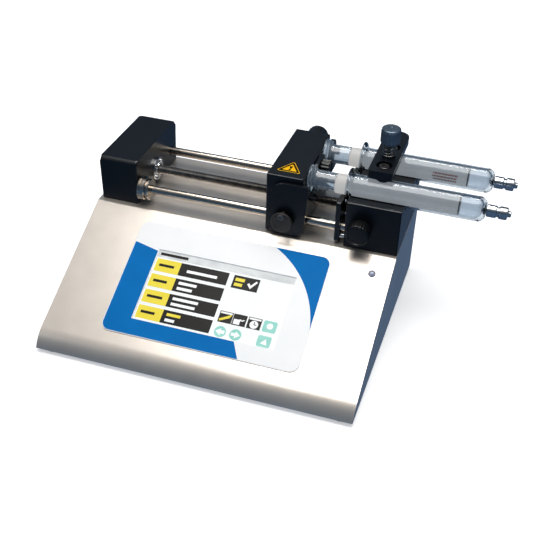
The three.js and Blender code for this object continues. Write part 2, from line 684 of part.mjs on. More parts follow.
// ---------------------------------------------------------------- syringes
function barrel(y) {
  const { barrel: outer, bore, flange, back, end } = SYRINGE;
  const nozzle = 2.4;
  const tip = end + 6;
  return turnedX(y, SYRINGE.z, [
    [back, bore], [back, flange - 0.6], [back + 0.6, flange], [back + 2, flange], [back + 2.6, flange - 0.6],
    [back + 2.6, outer], [end - 4, outer], [end - 2.2, outer - 0.6], [end - 0.8, outer - 2.2], [end, 4.4],
    [end, nozzle], [tip, nozzle], [tip, 1], [end - 2, 1], [end - 3.5, bore - 0.5], [end - 5, bore],
    [back, bore]]);
}

function luerTip(y) {
  const { end } = SYRINGE;
  const start = end + 0.3;
  return turnedX(y, SYRINGE.z, [
    [start, 2.7], [start, 3.6], [start + 0.5, 4], [start + 6.2, 4], [start + 6.8, 3.4], [start + 7.6, 3.4],
    [start + 8, 4.1], [start + 12.6, 4.1], [start + 13, 3.7], [start + 13, 2.1], [start + 15.2, 1.9],
    [start + 15.2, 0.8], [start + 6.4, 0.8], [start + 6.4, 2.7], [start, 2.7]], 16);
}

function plunger(y) {
  const face = PUSHER.right + 0.3;
  const neck = 6.4;
  const shoulder = 164;
  const pistonEnd = 243.8;
  return turnedX(y, SYRINGE.z, [
    [face, 0], [face, 8.7], [face + 0.5, 9.2], [face + 1.4, 9.2], [face + 1.9, 8], [face + 2.4, 9.1],
    [face + 3.4, 9.1], [face + 4, 6.6], [face + 4.6, neck], [shoulder, neck], [shoulder + 0.6, 6.5],
    [pistonEnd - 0.5, 6.5], [pistonEnd, 6], [pistonEnd, 0]]);
}

function syringes() {
  return syringeYs().flatMap((y, i) => {
    const side = ['front', 'rear'][i];
    return [
      node(`syringe_barrel_${side}`, barrel(y), GLASS),
      node(`luer_tip_${side}`, luerTip(y), CHROME),
      node(`plunger_${side}`, plunger(y), FROSTED),
    ];
  });
}

// ---------------------------------------------------------------- assembly
function housing() {
  return [
    node('housing_shell', housingShell(), PAINT),
    node('base_plate', basePlate(), PAINT),
    node('rear_panel', rearPanel(), PAINT),
    ...feet(),
    ...connectors(),
    node('overlay', overlay(), LABEL),
    node('touch_panel', touchPanel(), GLASS),
    node('display_module', displayModule(), STEEL),
    node('status_light', statusLight(), KNOB),
    node('main_board', mainBoard(), BOARD),
  ];
}

function drive() {
  const [front, rear] = rodYs();
  const rod = (y) => turnedX(y, AXIS.z, rodProfile(ROD.left, ROD.right, ROD.radius));
  return [
    node('motor_body', motorBody(), PLASTIC),
    node('motor_bracket', motorBracket(), STEEL),
    node('motor_rotor', motorRotor(), STEEL),
    node('timing_belt', belt(), RUBBER),
    node('screw_pulley', screwPulley(), STEEL),
    node('lead_screw', leadScrew(), STEEL),
    node('drive_end_block', driveEnd(), ANODISED),
    node('screw_bearing', screwBearing(), STEEL),
    node('bearing_retainer', bearingRetainer(), CHROME),
    node('guide_rod_front', rod(front), CHROME),
    node('guide_rod_rear', rod(rear), CHROME),
    node('stop_collar', stopCollar(), CHROME),
  ];
}

function pusher() {
  const [front, rear] = rodYs();
  return [
    node('pusher_block', pusherBlock(), ANODISED),
    node('pusher_cover', pusherCover(), ANODISED),
    node('rod_bushing_front', bushing(front), BRONZE),
    node('rod_bushing_rear', bushing(rear), BRONZE),
    node('half_nut', halfNut(), BRONZE),
    node('release_button', releaseButton(), GREY),
    node('release_spring', releaseSpring(), STEEL),
    node('rear_knob', rearKnob(), PLASTIC),
    node('plunger_bracket', plungerBracket(), ANODISED),
    node('bracket_knob', bracketKnob(), PLASTIC),
  ];
}

function holder() {
  return [
    node('syringe_cradle', cradle(), ANODISED),
    node('flange_retainer', flangeRetainer(), ANODISED),
    ...retainerPins(),
    node('retainer_knob', retainerKnob(), PLASTIC),
    node('clamp_stud', clampStud(), CHROME),
    node('clamp_bar', clampBar(), ANODISED),
    node('clamp_pad', clampPad(), PLASTIC),
    node('clamp_screw_front', clampScrew(CLAMP_SCREWS.front), CHROME),
    node('clamp_screw_rear', clampScrew(CLAMP_SCREWS.rear), CHROME),
    node('clamp_spring', clampSpring(), STEEL),
    node('clamp_knob', clampKnob(), KNOB),
  ];
}

// The origin is under the middle of the whole object, where it stands.
const pump = new THREE.Group();
pump.add(...housing(), ...drive(), ...pusher(), ...holder(), ...syringes());
const extent = new THREE.Box3().setFromObject(pump);
const middle = extent.getCenter(new THREE.Vector3());
pump.position.set(-middle.x, -middle.y, -extent.min.z);

export default pump;
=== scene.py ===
"""The looks of a bench syringe pump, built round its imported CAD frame."""
import json
import math

import bmesh
import bpy
from mathutils import Matrix, Vector

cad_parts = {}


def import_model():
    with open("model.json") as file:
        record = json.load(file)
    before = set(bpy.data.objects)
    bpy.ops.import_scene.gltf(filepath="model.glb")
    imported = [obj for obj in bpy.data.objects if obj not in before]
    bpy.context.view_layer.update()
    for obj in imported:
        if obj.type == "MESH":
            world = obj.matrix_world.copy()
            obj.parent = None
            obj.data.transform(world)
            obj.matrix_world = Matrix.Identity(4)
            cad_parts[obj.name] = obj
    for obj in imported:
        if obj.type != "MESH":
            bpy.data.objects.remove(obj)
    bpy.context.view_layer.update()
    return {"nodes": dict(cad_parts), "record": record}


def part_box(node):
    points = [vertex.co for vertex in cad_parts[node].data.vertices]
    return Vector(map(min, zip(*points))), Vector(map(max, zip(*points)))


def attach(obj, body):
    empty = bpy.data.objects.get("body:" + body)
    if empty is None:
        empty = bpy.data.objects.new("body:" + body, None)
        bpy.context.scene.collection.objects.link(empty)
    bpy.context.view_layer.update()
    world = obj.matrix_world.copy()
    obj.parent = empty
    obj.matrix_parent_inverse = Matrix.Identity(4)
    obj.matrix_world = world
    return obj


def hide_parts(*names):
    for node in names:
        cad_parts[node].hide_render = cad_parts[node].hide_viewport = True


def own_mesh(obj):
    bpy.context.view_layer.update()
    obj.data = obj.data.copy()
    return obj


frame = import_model()

# ---- the housing's own millimetres
# X from the housing's left side, Y towards the back, Z from its underside.
MM = 0.001
BACK = 189.2
SHELL_LOW, SHELL_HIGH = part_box("housing_shell")
HOME = Vector((SHELL_LOW.x, SHELL_HIGH.y - BACK * MM, SHELL_LOW.z))
TO_FRAME = Matrix.Translation(HOME) @ Matrix.Scale(MM, 4)
SLOPE = math.radians(26.4)
FIT = 0.3                       # clearance round a shaft or in a pocket
SMOOTH = math.radians(32)       # faces that meet at less than this are shaded as one


def span(node):
    """The low and high ends of a CAD node along X, Y and Z, in the housing's millimetres."""
    low, high = ((corner - HOME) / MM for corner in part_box(node))
    return tuple(zip(low, high))


def middle(ends):
    return (ends[0] + ends[1]) / 2


# ---- meshes
# Each plane turns (across, up, along its axis) into X, Y and Z.
PLANES = {
    "X": lambda u, v, w: (w, u, v),
    "Y": lambda u, v, w: (u, w, v),
    "Z": lambda u, v, w: (u, v, w),
    "slope": lambda u, v, w: (
        u, v * math.cos(SLOPE) - w * math.sin(SLOPE), v * math.sin(SLOPE) + w * math.cos(SLOPE)),
}


def made(bm):
    """The mesh so far as an object, still in the housing's millimetres."""
    bmesh.ops.recalc_face_normals(bm, faces=bm.faces)
    mesh = bpy.data.meshes.new("piece")
    bm.to_mesh(mesh)
    bm.free()
    piece = bpy.data.objects.new("piece", mesh)
    bpy.context.scene.collection.objects.link(piece)
    return piece


def rounded(corners, steps=6):
    """A polygon's points, with each corner (u, v, radius) turned into an arc."""
    points = []
    for i, (u, v, radius) in enumerate(corners):
        corner = Vector((u, v))
        if not radius:
            points.append(tuple(corner))
            continue
        before = (Vector(corners[i - 1][:2]) - corner).normalized()
        after = (Vector(corners[(i + 1) % len(corners)][:2]) - corner).normalized()
        half = before.angle(after) / 2
        centre = corner + (before + after).normalized() * radius / math.sin(half)
        start, end = (corner + way * radius / math.tan(half) - centre for way in (before, after))
        first = math.atan2(start.y, start.x)
        turn = (math.atan2(end.y, end.x) - first + math.pi) % (2 * math.pi) - math.pi
        for k in range(steps + 1):
            angle = first + turn * k / steps
            points.append((centre.x + radius * math.cos(angle), centre.y + radius * math.sin(angle)))
    return points


def rectangle(u0, u1, v0, v1, radius=0.0):
    return rounded([(u0, v0, radius), (u1, v0, radius), (u1, v1, radius), (u0, v1, radius)])


def arc(first, through, last, steps=16):
    """Points on the circle through three points."""
    (ax, ay), (bx, by), (cx, cy) = first, through, last
    d = 2 * (ax * (by - cy) + bx * (cy - ay) + cx * (ay - by))
    a2, b2, c2 = ax * ax + ay * ay, bx * bx + by * by, cx * cx + cy * cy
    ox = (a2 * (by - cy) + b2 * (cy - ay) + c2 * (ay - by)) / d
    oy = (a2 * (cx - bx) + b2 * (ax - cx) + c2 * (bx - ax)) / d
    radius = math.hypot(ax - ox, ay - oy)
    start = math.atan2(ay - oy, ax - ox)
    turn = (math.atan2(cy - oy, cx - ox) - start + math.pi) % (2 * math.pi) - math.pi
    angles = [start + turn * k / steps for k in range(steps + 1)]
    return [(ox + radius * math.cos(angle), oy + radius * math.sin(angle)) for angle in angles]


def full_turn(sides):
    """Even angles all the way round."""
    return [2 * math.pi * k / sides for k in range(sides)]


def circle(u, v, radius, sides=32):
    return [(u + radius * math.cos(angle), v + radius * math.sin(angle)) for angle in full_turn(sides)]


def extrusion(outline, plane, low, high, bevel=0.0, segments=3):
    """An outline made solid between two places along its axis, with the edges of both ends rounded."""
    put = PLANES[plane]
    bm = bmesh.new()
    ends = [[bm.verts.new(put(u, v, w)) for u, v in outline] for w in (low, high)]
    caps = [bm.faces.new(end) for end in ends]
    for i in range(len(outline)):
        j = (i + 1) % len(outline)
        bm.faces.new((ends[0][i], ends[0][j], ends[1][j], ends[1][i]))
    if bevel:
        edges = [edge for cap in caps for edge in cap.edges]
        bmesh.ops.bevel(bm, geom=edges, offset=bevel, segments=segments, profile=0.5, affect="EDGES")
    return made(bm)


def block(ends, bevel=0.5, segments=3):
    """A box between three pairs of ends, with every edge rounded."""
    bm = bmesh.new()
    bmesh.ops.create_cube(bm, size=1)
    for vert in bm.verts:
        vert.co = [low if part < 0 else high for part, (low, high) in zip(vert.co, ends)]
    if bevel:
        bmesh.ops.bevel(bm, geom=bm.edges[:], offset=bevel, segments=segments, profile=0.5, affect="EDGES")
    return made(bm)


def lathe(profile, plane, u, v, sides=64, flutes=0):
    """A turned piece. profile holds (along, radius), or (along, radius, flute depth), and starts
    and ends on the axis or closes on itself."""
    put = PLANES[plane]
    bm = bmesh.new()
    rings = []
    closed = profile[0] == profile[-1]
    for along, radius, *depth in profile[:-1] if closed else profile:
        ring = []
        for k in range(sides if radius else 1):
            angle = 2 * math.pi * k / sides
            reach = radius - (depth[0] * (0.5 - 0.5 * math.cos(flutes * angle)) if depth else 0)
            ring.append(bm.verts.new(put(u + reach * math.cos(angle), v + reach * math.sin(angle), along)))
        rings.append(ring)
    if closed:
        rings.append(rings[0])
    for a, b in zip(rings, rings[1:]):
        for k in range(sides):
            loop = [a[k % len(a)], a[(k + 1) % sides % len(a)], b[(k + 1) % sides % len(b)], b[k % len(b)]]
            corners = list(dict.fromkeys(loop))
            if len(corners) > 2:
                bm.faces.new(corners)
    return made(bm)


def rod(low, high, radius, chamfer=0.0):
    """The profile of a round bar with chamfered ends."""
    return [(low, 0), (low, radius - chamfer), (low + chamfer, radius), (high - chamfer, radius),
            (high, radius - chamfer), (high, 0)]


def drum(low, high, radius, edge=0.5, steps=3):
    """The profile of a round bar with rounded ends."""
    turns = [math.pi / 2 * k / steps for k in range(steps + 1)]
    first = [(low + edge * (1 - math.sin(a)), radius - edge * (1 - math.cos(a))) for a in reversed(turns)]
    last = [(high - edge * (1 - math.sin(a)), radius - edge * (1 - math.cos(a))) for a in turns]
    return [(low, 0), *first, *last, (high, 0)]


def swept(path, wire, sides=10):
    """A round wire along a list of points, with both ends closed."""
    bm = bmesh.new()
    rings = []
    for i, point in enumerate(path):
        way = (path[min(i + 1, len(path) - 1)] - path[max(i - 1, 0)]).normalized()
        side = way.cross(Vector((0, 0, 1))).normalized()
        up = side.cross(way)
        rings.append([
            bm.verts.new(point + wire * (side * math.cos(a) + up * math.sin(a))) for a in full_turn(sides)])
    for a, b in zip(rings, rings[1:]):
        for k in range(sides):
            bm.faces.new((a[k], a[(k + 1) % sides], b[(k + 1) % sides], b[k]))
    bm.faces.new(rings[0])
    bm.faces.new(rings[-1])
    return made(bm)


def coil(length, radius, wire, turns, steps=24):
    """The points of a compression spring up the Z axis, with a closed turn at each end."""
    points = []
    count = int(turns * steps)
    for i in range(count + 1):
        angle = 2 * math.pi * i / steps
        share = min(max((i / steps - 1) / (turns - 2), 0), 1)
        height = wire + (length - 6 * wire) * share + 2 * wire * min(i / steps, 1)
        height += 2 * wire * max(i / steps - (turns - 1), 0)
        points.append(Vector((radius * math.cos(angle), radius * math.sin(angle), height)))
    return points


def joined(*pieces):
    """Several meshes as one object, each still a shell of its own."""
    bm = bmesh.new()
    for piece in pieces:
        bm.from_mesh(piece.data)
        bpy.data.objects.remove(piece)
    return made(bm)


def cut(whole, *tools):
    """The first piece with the others taken away from it."""
    for tool in tools:
        modifier = whole.modifiers.new("cut", "BOOLEAN")
        modifier.object = tool
        modifier.operation = "DIFFERENCE"
        modifier.solver = "EXACT"
    depsgraph = bpy.context.evaluated_depsgraph_get()
    mesh = bpy.data.meshes.new_from_object(whole.evaluated_get(depsgraph))
    whole.modifiers.clear()
    whole.data = mesh
    for tool in tools:
        bpy.data.objects.remove(tool)
    return whole


def bore(plane, u, v, low, high, radius, sides=40, lip=0.0):
    """A cutter for a round hole; with a lip, it has a chamfer where it comes out at each end."""
    reach = 1.0                 # how far a chamfer's cone runs on into the air
    if not lip:
        return lathe([(low, 0), (low, radius), (high, radius), (high, 0)], plane, u, v, sides)
    return lathe([
        (low - reach, 0), (low - reach, radius + lip + reach), (low + lip, radius), (high - lip, radius),
        (high + reach, radius + lip + reach), (high + reach, 0)], plane, u, v, sides)


# ---- materials
def tone(code):
    """A colour written as RRGGBB, as linear light."""
    parts = [int(code[i:i + 2], 16) / 255 for i in (0, 2, 4)]
    return [*(p / 12.92 if p <= 0.04045 else ((p + 0.055) / 1.055) ** 2.4 for p in parts), 1]


GLOSS_SPREAD = 0.15             # how far the roughness wanders, as a share of itself


def finish(name, dark, light, roughness, mottle=60, grain=2500, height=0.02, stretch=(1, 1, 1), **sockets):
    """A surface that wanders between two tones, with a fine grain in its height and its gloss.
    mottle and grain are in cycles per metre, height in millimetres; the rest go to the shader's sockets."""
    material = bpy.data.materials.new(name)
    material.use_nodes = True
    nodes, links = material.node_tree.nodes, material.node_tree.links
    shader = nodes["Principled BSDF"]
    for socket, value in sockets.items():
        shader.inputs[socket.replace("_", " ")].default_value = value
    coordinates = nodes.new("ShaderNodeTexCoord")
    mapping = nodes.new("ShaderNodeMapping")
    mapping.inputs["Scale"].default_value = stretch
    links.new(coordinates.outputs["Object"], mapping.inputs["Vector"])

    def noise(scale, detail):
        node = nodes.new("ShaderNodeTexNoise")
        node.inputs["Scale"].default_value = scale
        node.inputs["Detail"].default_value = detail
        links.new(mapping.outputs["Vector"], node.inputs["Vector"])
        return node.outputs["Fac"]

    patches, speckle = noise(mottle, 3), noise(grain, 2)
    ramp = nodes.new("ShaderNodeValToRGB")
    ramp.color_ramp.elements[0].position, ramp.color_ramp.elements[1].position = 0.3, 0.7
    ramp.color_ramp.elements[0].color, ramp.color_ramp.elements[1].color = tone(dark), tone(light)
    links.new(patches, ramp.inputs["Fac"])
    links.new(ramp.outputs["Color"], shader.inputs["Base Color"])
    gloss = nodes.new("ShaderNodeMapRange")
    gloss.inputs["To Min"].default_value = roughness * (1 - GLOSS_SPREAD)
    gloss.inputs["To Max"].default_value = roughness * (1 + GLOSS_SPREAD)
    links.new(speckle, gloss.inputs["Value"])
    links.new(gloss.outputs["Result"], shader.inputs["Roughness"])
    bump = nodes.new("ShaderNodeBump")
    bump.inputs["Strength"].default_value = 0.5
    bump.inputs["Distance"].default_value = height * MM
    links.new(speckle, bump.inputs["Height"])
    links.new(bump.outputs["Normal"], shader.inputs["Normal"])
    return material


LOOKS = {
    "silver_paint": finish("silver_paint", "D6CDC3", "DED5CB", 0.3, grain=3500, height=0.003,
                           Metallic=0.65, Coat_Weight=0.6, Coat_Roughness=0.07),
    "black_anodised": finish("black_anodised", "0A0E13", "0E1319", 0.3, grain=4000, height=0.003,
                             Metallic=0.3, Specular_IOR_Level=0.6),
    "polished_steel": finish("polished_steel", "BFC1C3", "D2D4D5", 0.1, mottle=200, grain=900, height=0.001,
                             stretch=(4, 1, 1), Metallic=1.0),
    "plain_steel": finish("plain_steel", "6E6A66", "8C8884", 0.28, mottle=200, grain=1500, height=0.006,
                          Metallic=1.0),
    "bronze": finish("bronze", "8A6A3C", "A8844E", 0.3, mottle=150, Metallic=1.0),
    "blue_grey_anodised": finish("blue_grey_anodised", "56646F", "6C7C8C", 0.32, grain=3000, height=0.008,
                                 Metallic=0.7),
    "black_plastic": finish("black_plastic", "060708", "0B0C0E", 0.32, grain=2500, height=0.01),
    "grey_plastic": finish("grey_plastic", "2E2A27", "3A3532", 0.42, grain=2500, height=0.02),
    "rubber": finish("rubber", "141414", "1C1C1C", 0.8, grain=1500, height=0.05),
    # clear glass: its blue-grey tint is painted shade, darkening the glass where reflection and shadow darken
    # it, since the glass itself is clear
    "clear_glass": finish("clear_glass", "BEC7D0", "C6CFD7", 0.015, mottle=20, grain=400, height=0.0005,
                          Transmission_Weight=1.0, IOR=1.47),
    # ground glass: the Emission is a painted glow that stands in for light that does not reach the plungers
    # inside the barrels; its base tones are kept dark to balance it
    "ground_glass": finish("ground_glass", "72706E", "7E7C7A", 0.5, mottle=90, grain=5000, height=0.02,
                           Transmission_Weight=0.25, IOR=1.47, Emission_Color=tone("DFDFDE"),
                           Emission_Strength=0.48),
    "label_film": finish("label_film", "FAFCFD", "FFFFFF", 0.3, grain=1200, height=0.004,
                         Specular_IOR_Level=0.3),
    "screen_glass": finish("screen_glass", "EFF3F2", "F8FAF9", 0.22, mottle=30, grain=3000, height=0.002,
                           Specular_IOR_Level=0.3, Emission_Color=tone("F2F6F6"), Emission_Strength=0.12),
    "status_lens": finish("status_lens", "26345C", "3B4C7C", 0.12, mottle=900, grain=1500, height=0.01,
                          Coat_Weight=1.0),
    "circuit_board": finish("circuit_board", "0E3A1E", "17532C", 0.4, mottle=300),
}
# neck glass: its darker blue-grey tint is painted shade and painted reflection on glass that is clear itself
NECK_GLASS = finish("neck_glass", "A4B4C2", "BCCAD6", 0.05, mottle=120, grain=900, height=0.001,
                    Transmission_Weight=0.75, IOR=1.47, Coat_Weight=1.0)
ROD_STEEL = finish("rod_steel", "B0A69A", "C0B6AA", 0.12, mottle=200, grain=900, height=0.001,
                   stretch=(4, 1, 1), Metallic=1.0)
PRINTS = {
    name: finish(f"print_{name}", dark, light, 0.5, grain=1500, height=0.004, Specular_IOR_Level=0.04)
    for name, dark, light in [
        ("blue", "0670BA", "0876C2"), ("yellow", "EFB412", "F7C21E"), ("black", "0D0B08", "15120D"),
        ("red", "5E241E", "6E2E27")]
}
SCREEN_INKS = {
    name: finish(f"screen_{name}", dark, light, 0.3, mottle=120, grain=3000, height=0.002,
                 Specular_IOR_Level=0.15, Emission_Color=tone(light), Emission_Strength=0.12)
    for name, dark, light in [
        ("white", "F6F8F7", "FFFFFF"), ("grey", "C4C7C8", "E4E6E6"), ("yellow", "EBD63C", "F4E04C"),
        ("black", "0C0B0A", "16130F"), ("teal", "86CFC2", "A2DCD0")]
}


def place(piece, name, body, slot, material=None):
    """Names a finished piece, moves it into the shared frame and puts it on its body."""
    piece.name = piece.data.name = name
    piece.data.transform(TO_FRAME)
    piece.data.materials.clear()
    piece.data.materials.append(material or LOOKS[slot])
    for face in piece.data.polygons:
        face.use_smooth = True
        face.material_index = 0
    piece.data.set_sharp_from_angle(angle=SMOOTH)
    piece.modifiers.new("even_normals", "WEIGHTED_NORMAL").keep_sharp = True
    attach(piece, body)


# The record says which body each CAD node rides on and which slot it takes.
BODY_OF = {node: body for body, nodes in frame["record"]["behaviour"]["bodies"].items() for node in nodes}
SLOT_OF = {part["node"]: part["material_slot"] for part in frame["record"]["subparts"]}


def dress(piece, node, material=None, slot=None):
    """Puts a finished piece in the place of the CAD node that it refines."""
    place(piece, f"fine_{node}", BODY_OF[node], slot or SLOT_OF[node], material)
    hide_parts(node)


# ---- places taken from the frame
ROD_FRONT, ROD_REAR, SCREW = span("guide_rod_front"), span("guide_rod_rear"), span("lead_screw")
ROD_YS = [middle(ROD_FRONT[1]), middle(ROD_REAR[1])]
AXIS_Y, AXIS_Z = middle(SCREW[1]), middle(SCREW[2])
ROD_RADIUS = (ROD_FRONT[1][1] - ROD_FRONT[1][0]) / 2
SCREW_RADIUS = (SCREW[1][1] - SCREW[1][0]) / 2
BARRELS = {side: span(f"syringe_barrel_{side}") for side in ("front", "rear")}
SYRINGE_YS = {side: middle(ends[1]) for side, ends in BARRELS.items()}
SYRINGE_Z = middle(BARRELS["front"][2])
PUSHER, COVER, CRADLE = span("pusher_block"), span("pusher_cover"), span("syringe_cradle")
DRIVE_END, BRACKET, RETAINER = span("drive_end_block"), span("plunger_bracket"), span("flange_retainer")
BAR, PAD, CLAMP_KNOB, STUD = span("clamp_bar"), span("clamp_pad"), span("clamp_knob"), span("clamp_stud")
STUD_X = middle(STUD[0])
SHELL = span("housing_shell")
BARREL_RADIUS, BORE_RADIUS = 8.0, 6.8


# ---- housing
WALL = 1.5
NOSE_RADIUS, CREST_RADIUS = 20, 3
NOSE_REACH = 1.3                # how far the nose's curve runs on in front, below the base
WINDOW_LOW, WINDOW_HIGH = 41.5, 98      # the touch panel's window, up the slope


def wedge(inset):
    """The housing's side outline in Y and Z, moved in from the outside by inset. It runs on below
    the base, where the big curve of the nose is cut off."""
    nose, back, top, low = SHELL[1][0] - NOSE_REACH, SHELL[1][1], SHELL[2][1], -10
    slope_back = inset / math.sin(SLOPE)
    nose_z = (nose + inset - slope_back) * math.tan(SLOPE)
    crest = (top - inset) / math.tan(SLOPE) + slope_back
    return rounded([
        (nose + inset, low, 0), (back - inset, low, 0), (back - inset, top - inset, CREST_RADIUS),
        (crest, top - inset, CREST_RADIUS), (nose + inset, nose_z, NOSE_RADIUS - inset)], steps=14)


def housing_shell():
    """A thin wedge, open below, with openings for the screen, the lamp, the belt and the rear panel."""
    (x0, x1), (_, back), (_, top) = SHELL
    (sx0, sx1), _, _ = span("touch_panel")
    light_x, light_t = light_place()
    (px0, px1), _, (pz0, pz1) = span("rear_panel")
    through = 4                 # half the depth of a cutter, more than the wall
    dress(cut(
        extrusion(wedge(0), "X", x0, x1, bevel=2.5, segments=4),
        block(((x0 - 1, x1 + 1), (0, back + 1), (-20, 0)), 0),
        extrusion(wedge(WALL), "X", x0 + WALL, x1 - WALL),
        extrusion(rectangle(sx0 - 0.5, sx1 + 0.5, WINDOW_LOW, WINDOW_HIGH, 1), "slope", -through, through),
        extrusion(circle(light_x, light_t, 2.2), "slope", -through, through),
        block(((5, 17.5), (AXIS_Y - 12, AXIS_Y + 12), (top - through, top + through)), 0),
        block(((px0 - FIT, px1 + FIT), (back - through, back + through), (pz0 - FIT, pz1 + FIT)), 0),
    ), "housing_shell")


def feet():
    """Rubber feet with a shallow hollow under each."""
    for end in ("front", "rear"):
        for side in ("left", "right"):
            node = f"foot_{end}_{side}"
            (x0, x1), (y0, y1), (low, high) = span(node)
            radius = (x1 - x0) / 2
            profile = [
                (low + 1.2, 0), (low + 1.2, 2.2), (low, 2.6), (low, radius - 1), (low + 0.35, radius - 0.3),
                (low + 1, radius), (high, radius), (high, 0)]
            dress(lathe(profile, "Z", middle((x0, x1)), middle((y0, y1)), 48), node)


# ---- overlay and screen
OVERLAY = {"left": 38.2, "right": 170.5, "low": 31.5, "high": 115, "corner": 6, "bottom": 0.1, "top": 0.6}
SCREEN = {"left": 56.5, "right": 152, "low": 43.5, "high": 96}
INK = 0.05                      # thickness of a printed or lit layer


def overlay():
    """The film, with a window for the screen, a blue band on its left and a blue flag at the top right."""
    left, right, low, high, corner, bottom, top = OVERLAY.values()
    film = extrusion(rectangle(left, right, low, high, corner), "slope", bottom, top, bevel=0.12)
    window = rectangle(SCREEN["left"], SCREEN["right"], SCREEN["low"], SCREEN["high"], 0.6)
    dress(cut(film, extrusion(window, "slope", -1, 2)), "overlay")
    edge = 0.45                 # the white border left round the print
    band = rounded([
        (left + edge, 98.3, 0.3), (SCREEN["left"] - edge, 94.4, 0.3),
        (SCREEN["left"] - edge, SCREEN["low"] - edge, 0.2),
        (126, SCREEN["low"] - edge, 0.3), (131.8, low + edge, 0.3), (left + edge, low + edge, corner - edge)])
    flag_low, flag_left = 62, 132.5
    inside = arc((right - edge, flag_low), (158.1, 91.8), (flag_left, high - edge))
    top_corner = rounded([
        (flag_left, high - edge, 0), (right - edge, high - edge, corner - edge),
        (right - edge, flag_low, 0)])
    flag = [*inside[:-1], *top_corner[:-1]]
    for name, outline in {"overlay_band": band, "overlay_flag": flag}.items():
        place(extrusion(outline, "slope", top, top + INK), name, "chassis", "label_film",
              PRINTS["blue"])


def shape(outline, layer=1):
    """A lit shape on the screen; each layer lies on top of the one before it."""
    base = -0.1 + layer * INK
    return extrusion(outline, "slope", base, base + INK)


def tile(u0, u1, v0, v1, layer=0, radius=0.0):
    return shape(rectangle(u0, u1, v0, v1, radius), layer)


def screen_rows():
    """Four setting rows: a yellow name cell, a dark value cell, and plain bars in place of words."""
    top, pitch, height = 89.5, 11.75, 9.4
    names, split, values = 57.6, 74.7, 108.3
    yellow, black, white, bars = [], [], [], []
    lines = [[(80, 101, 0.45)], [(77.5, 90, 0.7), (77.5, 88, 0.28)], [(77.5, 95, 0.7), (77.5, 94, 0.28)],
             [(77.5, 87, 0.7), (77.5, 84, 0.28)]]
    for i, row in enumerate(lines):
        high = top - i * pitch
        low = high - height
        yellow.append(tile(names, split, low, high))
        black.append(tile(split, values, low, high))
        bars.append(tile(names + 2.5, split - 4 - i % 2, low + 0.42 * height, low + 0.62 * height, 1))
        for j, (u0, u1, share) in enumerate(row):
            line = tile(u0, u1, low + share * height - 1.1, low + share * height + 0.9, 1)
            (yellow if i == 3 and j == 0 else white).append(line)
    return yellow, black, white, bars


def screen_button():
    """The dark button with two bars and a tick."""
    black = [tile(111.8, 129.5, 79.6, 89.1)]
    yellow = [tile(113.3, 119.6, 85, 87.3, 1), tile(113.3, 118.8, 81.4, 83.6, 1)]
    tick = [(121.8, 84.2), (122.9, 85.3), (124.4, 83.6), (127.3, 87.5), (128.4, 86.7), (124.5, 81.2)]
    return black, yellow, [shape(tick)]


def screen_icons():
    """Small square icons: a tool, an open lock, a clock, two teal keys and two arrow keys."""
    low, high = 54.3, 62.3
    black = [tile(left, left + 9, low, high) for left in (111, 120.3, 130.2)]
    yellow = [shape([(112, 55), (118.2, 58.2), (119.4, 60.8), (117.6, 60), (113.5, 57.6), (111.6, 56.6)])]
    white = [
        tile(111.6, 119.4, 60.6, 61.8, 1), tile(121.2, 125.4, 55, 58.6, 1), tile(130.8, 138.6, 60.6, 61.8, 1),
        shape([*arc((124.6, 59), (126.4, 61.6), (128.2, 59)), *arc((127.2, 59), (126.4, 60.5), (125.6, 59))]),
        shape(circle(134.7, 57.4, 2.8, 24))]
    black += [tile(134.5, 135, 57.2, 59.4, 2), tile(134.5, 136.4, 57.1, 57.6, 2)]
    teal = [tile(140.6, 149.4, low, high, 0, 1.2), tile(139.8, 148.6, 43.9, 51.6, 0, 1.2),
            shape(circle(115.1, 47.8, 3.9), 0), shape(circle(125.3, 47.9, 3.9), 0)]
    white += [
        shape(circle(145, 58.6, 2.1, 20)), shape([(142, 46), (146.6, 45.4), (145.2, 49.6)]),
        shape([(112, 47.8), (115.4, 50.3), (115.4, 48.9), (118, 48.9), (118, 46.7), (115.4, 46.7),
               (115.4, 45.3)]),
        shape([(128.4, 47.9), (125, 45.4), (125, 46.8), (122.4, 46.8), (122.4, 49), (125, 49), (125, 50.4)])]
    return black, white, yellow, teal


def screen():
    """Everything lit on the screen, one piece to each colour."""
    yellow, black, white, bars = screen_rows()
    button_black, button_yellow, tick = screen_button()
    icon_black, icon_white, icon_yellow, teal = screen_icons()
    header = [tile(SCREEN["left"] + 0.3, SCREEN["right"] - 0.3, 90.6, SCREEN["high"] - 0.3)]
    header_bar = [tile(58.6, 78, 92.2, 94.2, 1)]
    inks = {
        "yellow": yellow + button_yellow + icon_yellow,
        "black": black + bars + button_black + icon_black + header_bar,
        "white": white + tick + icon_white,
        "teal": teal,
        "grey": header,
    }
    for name, shapes in inks.items():
        place(joined(*shapes), f"screen_{name}", "chassis", "screen_glass", SCREEN_INKS[name])


def light_place():
    """Where the status light's middle is: across, and up the slope."""
    light = span("status_light")
    return middle(light[0]), middle(light[1]) / math.cos(SLOPE) + 0.3


def status_light():
    """A domed lens in a dark ring, flat on the slope."""
    x, t = light_place()
    root = -2.5
    lens = [(root, 0), (root, 1.6), (0.3, 1.6), (0.9, 1.25), (1.3, 0.7), (1.45, 0)]
    ring = [(root, 1.7), (root, 2.1), (0.05, 2.1), (0.1, 2.5), (0.4, 2.4), (0.55, 2.1), (0.5, 1.7),
            (root, 1.7)]
    dress(lathe(lens, "slope", x, t, 32), "status_light",
          material=finish("lens_glow", "B9C4DC", "D5DDEC", 0.15, mottle=900, Coat_Weight=1.0))
    place(lathe(ring, "slope", x, t, 32), "status_light_ring", "chassis", "status_lens")


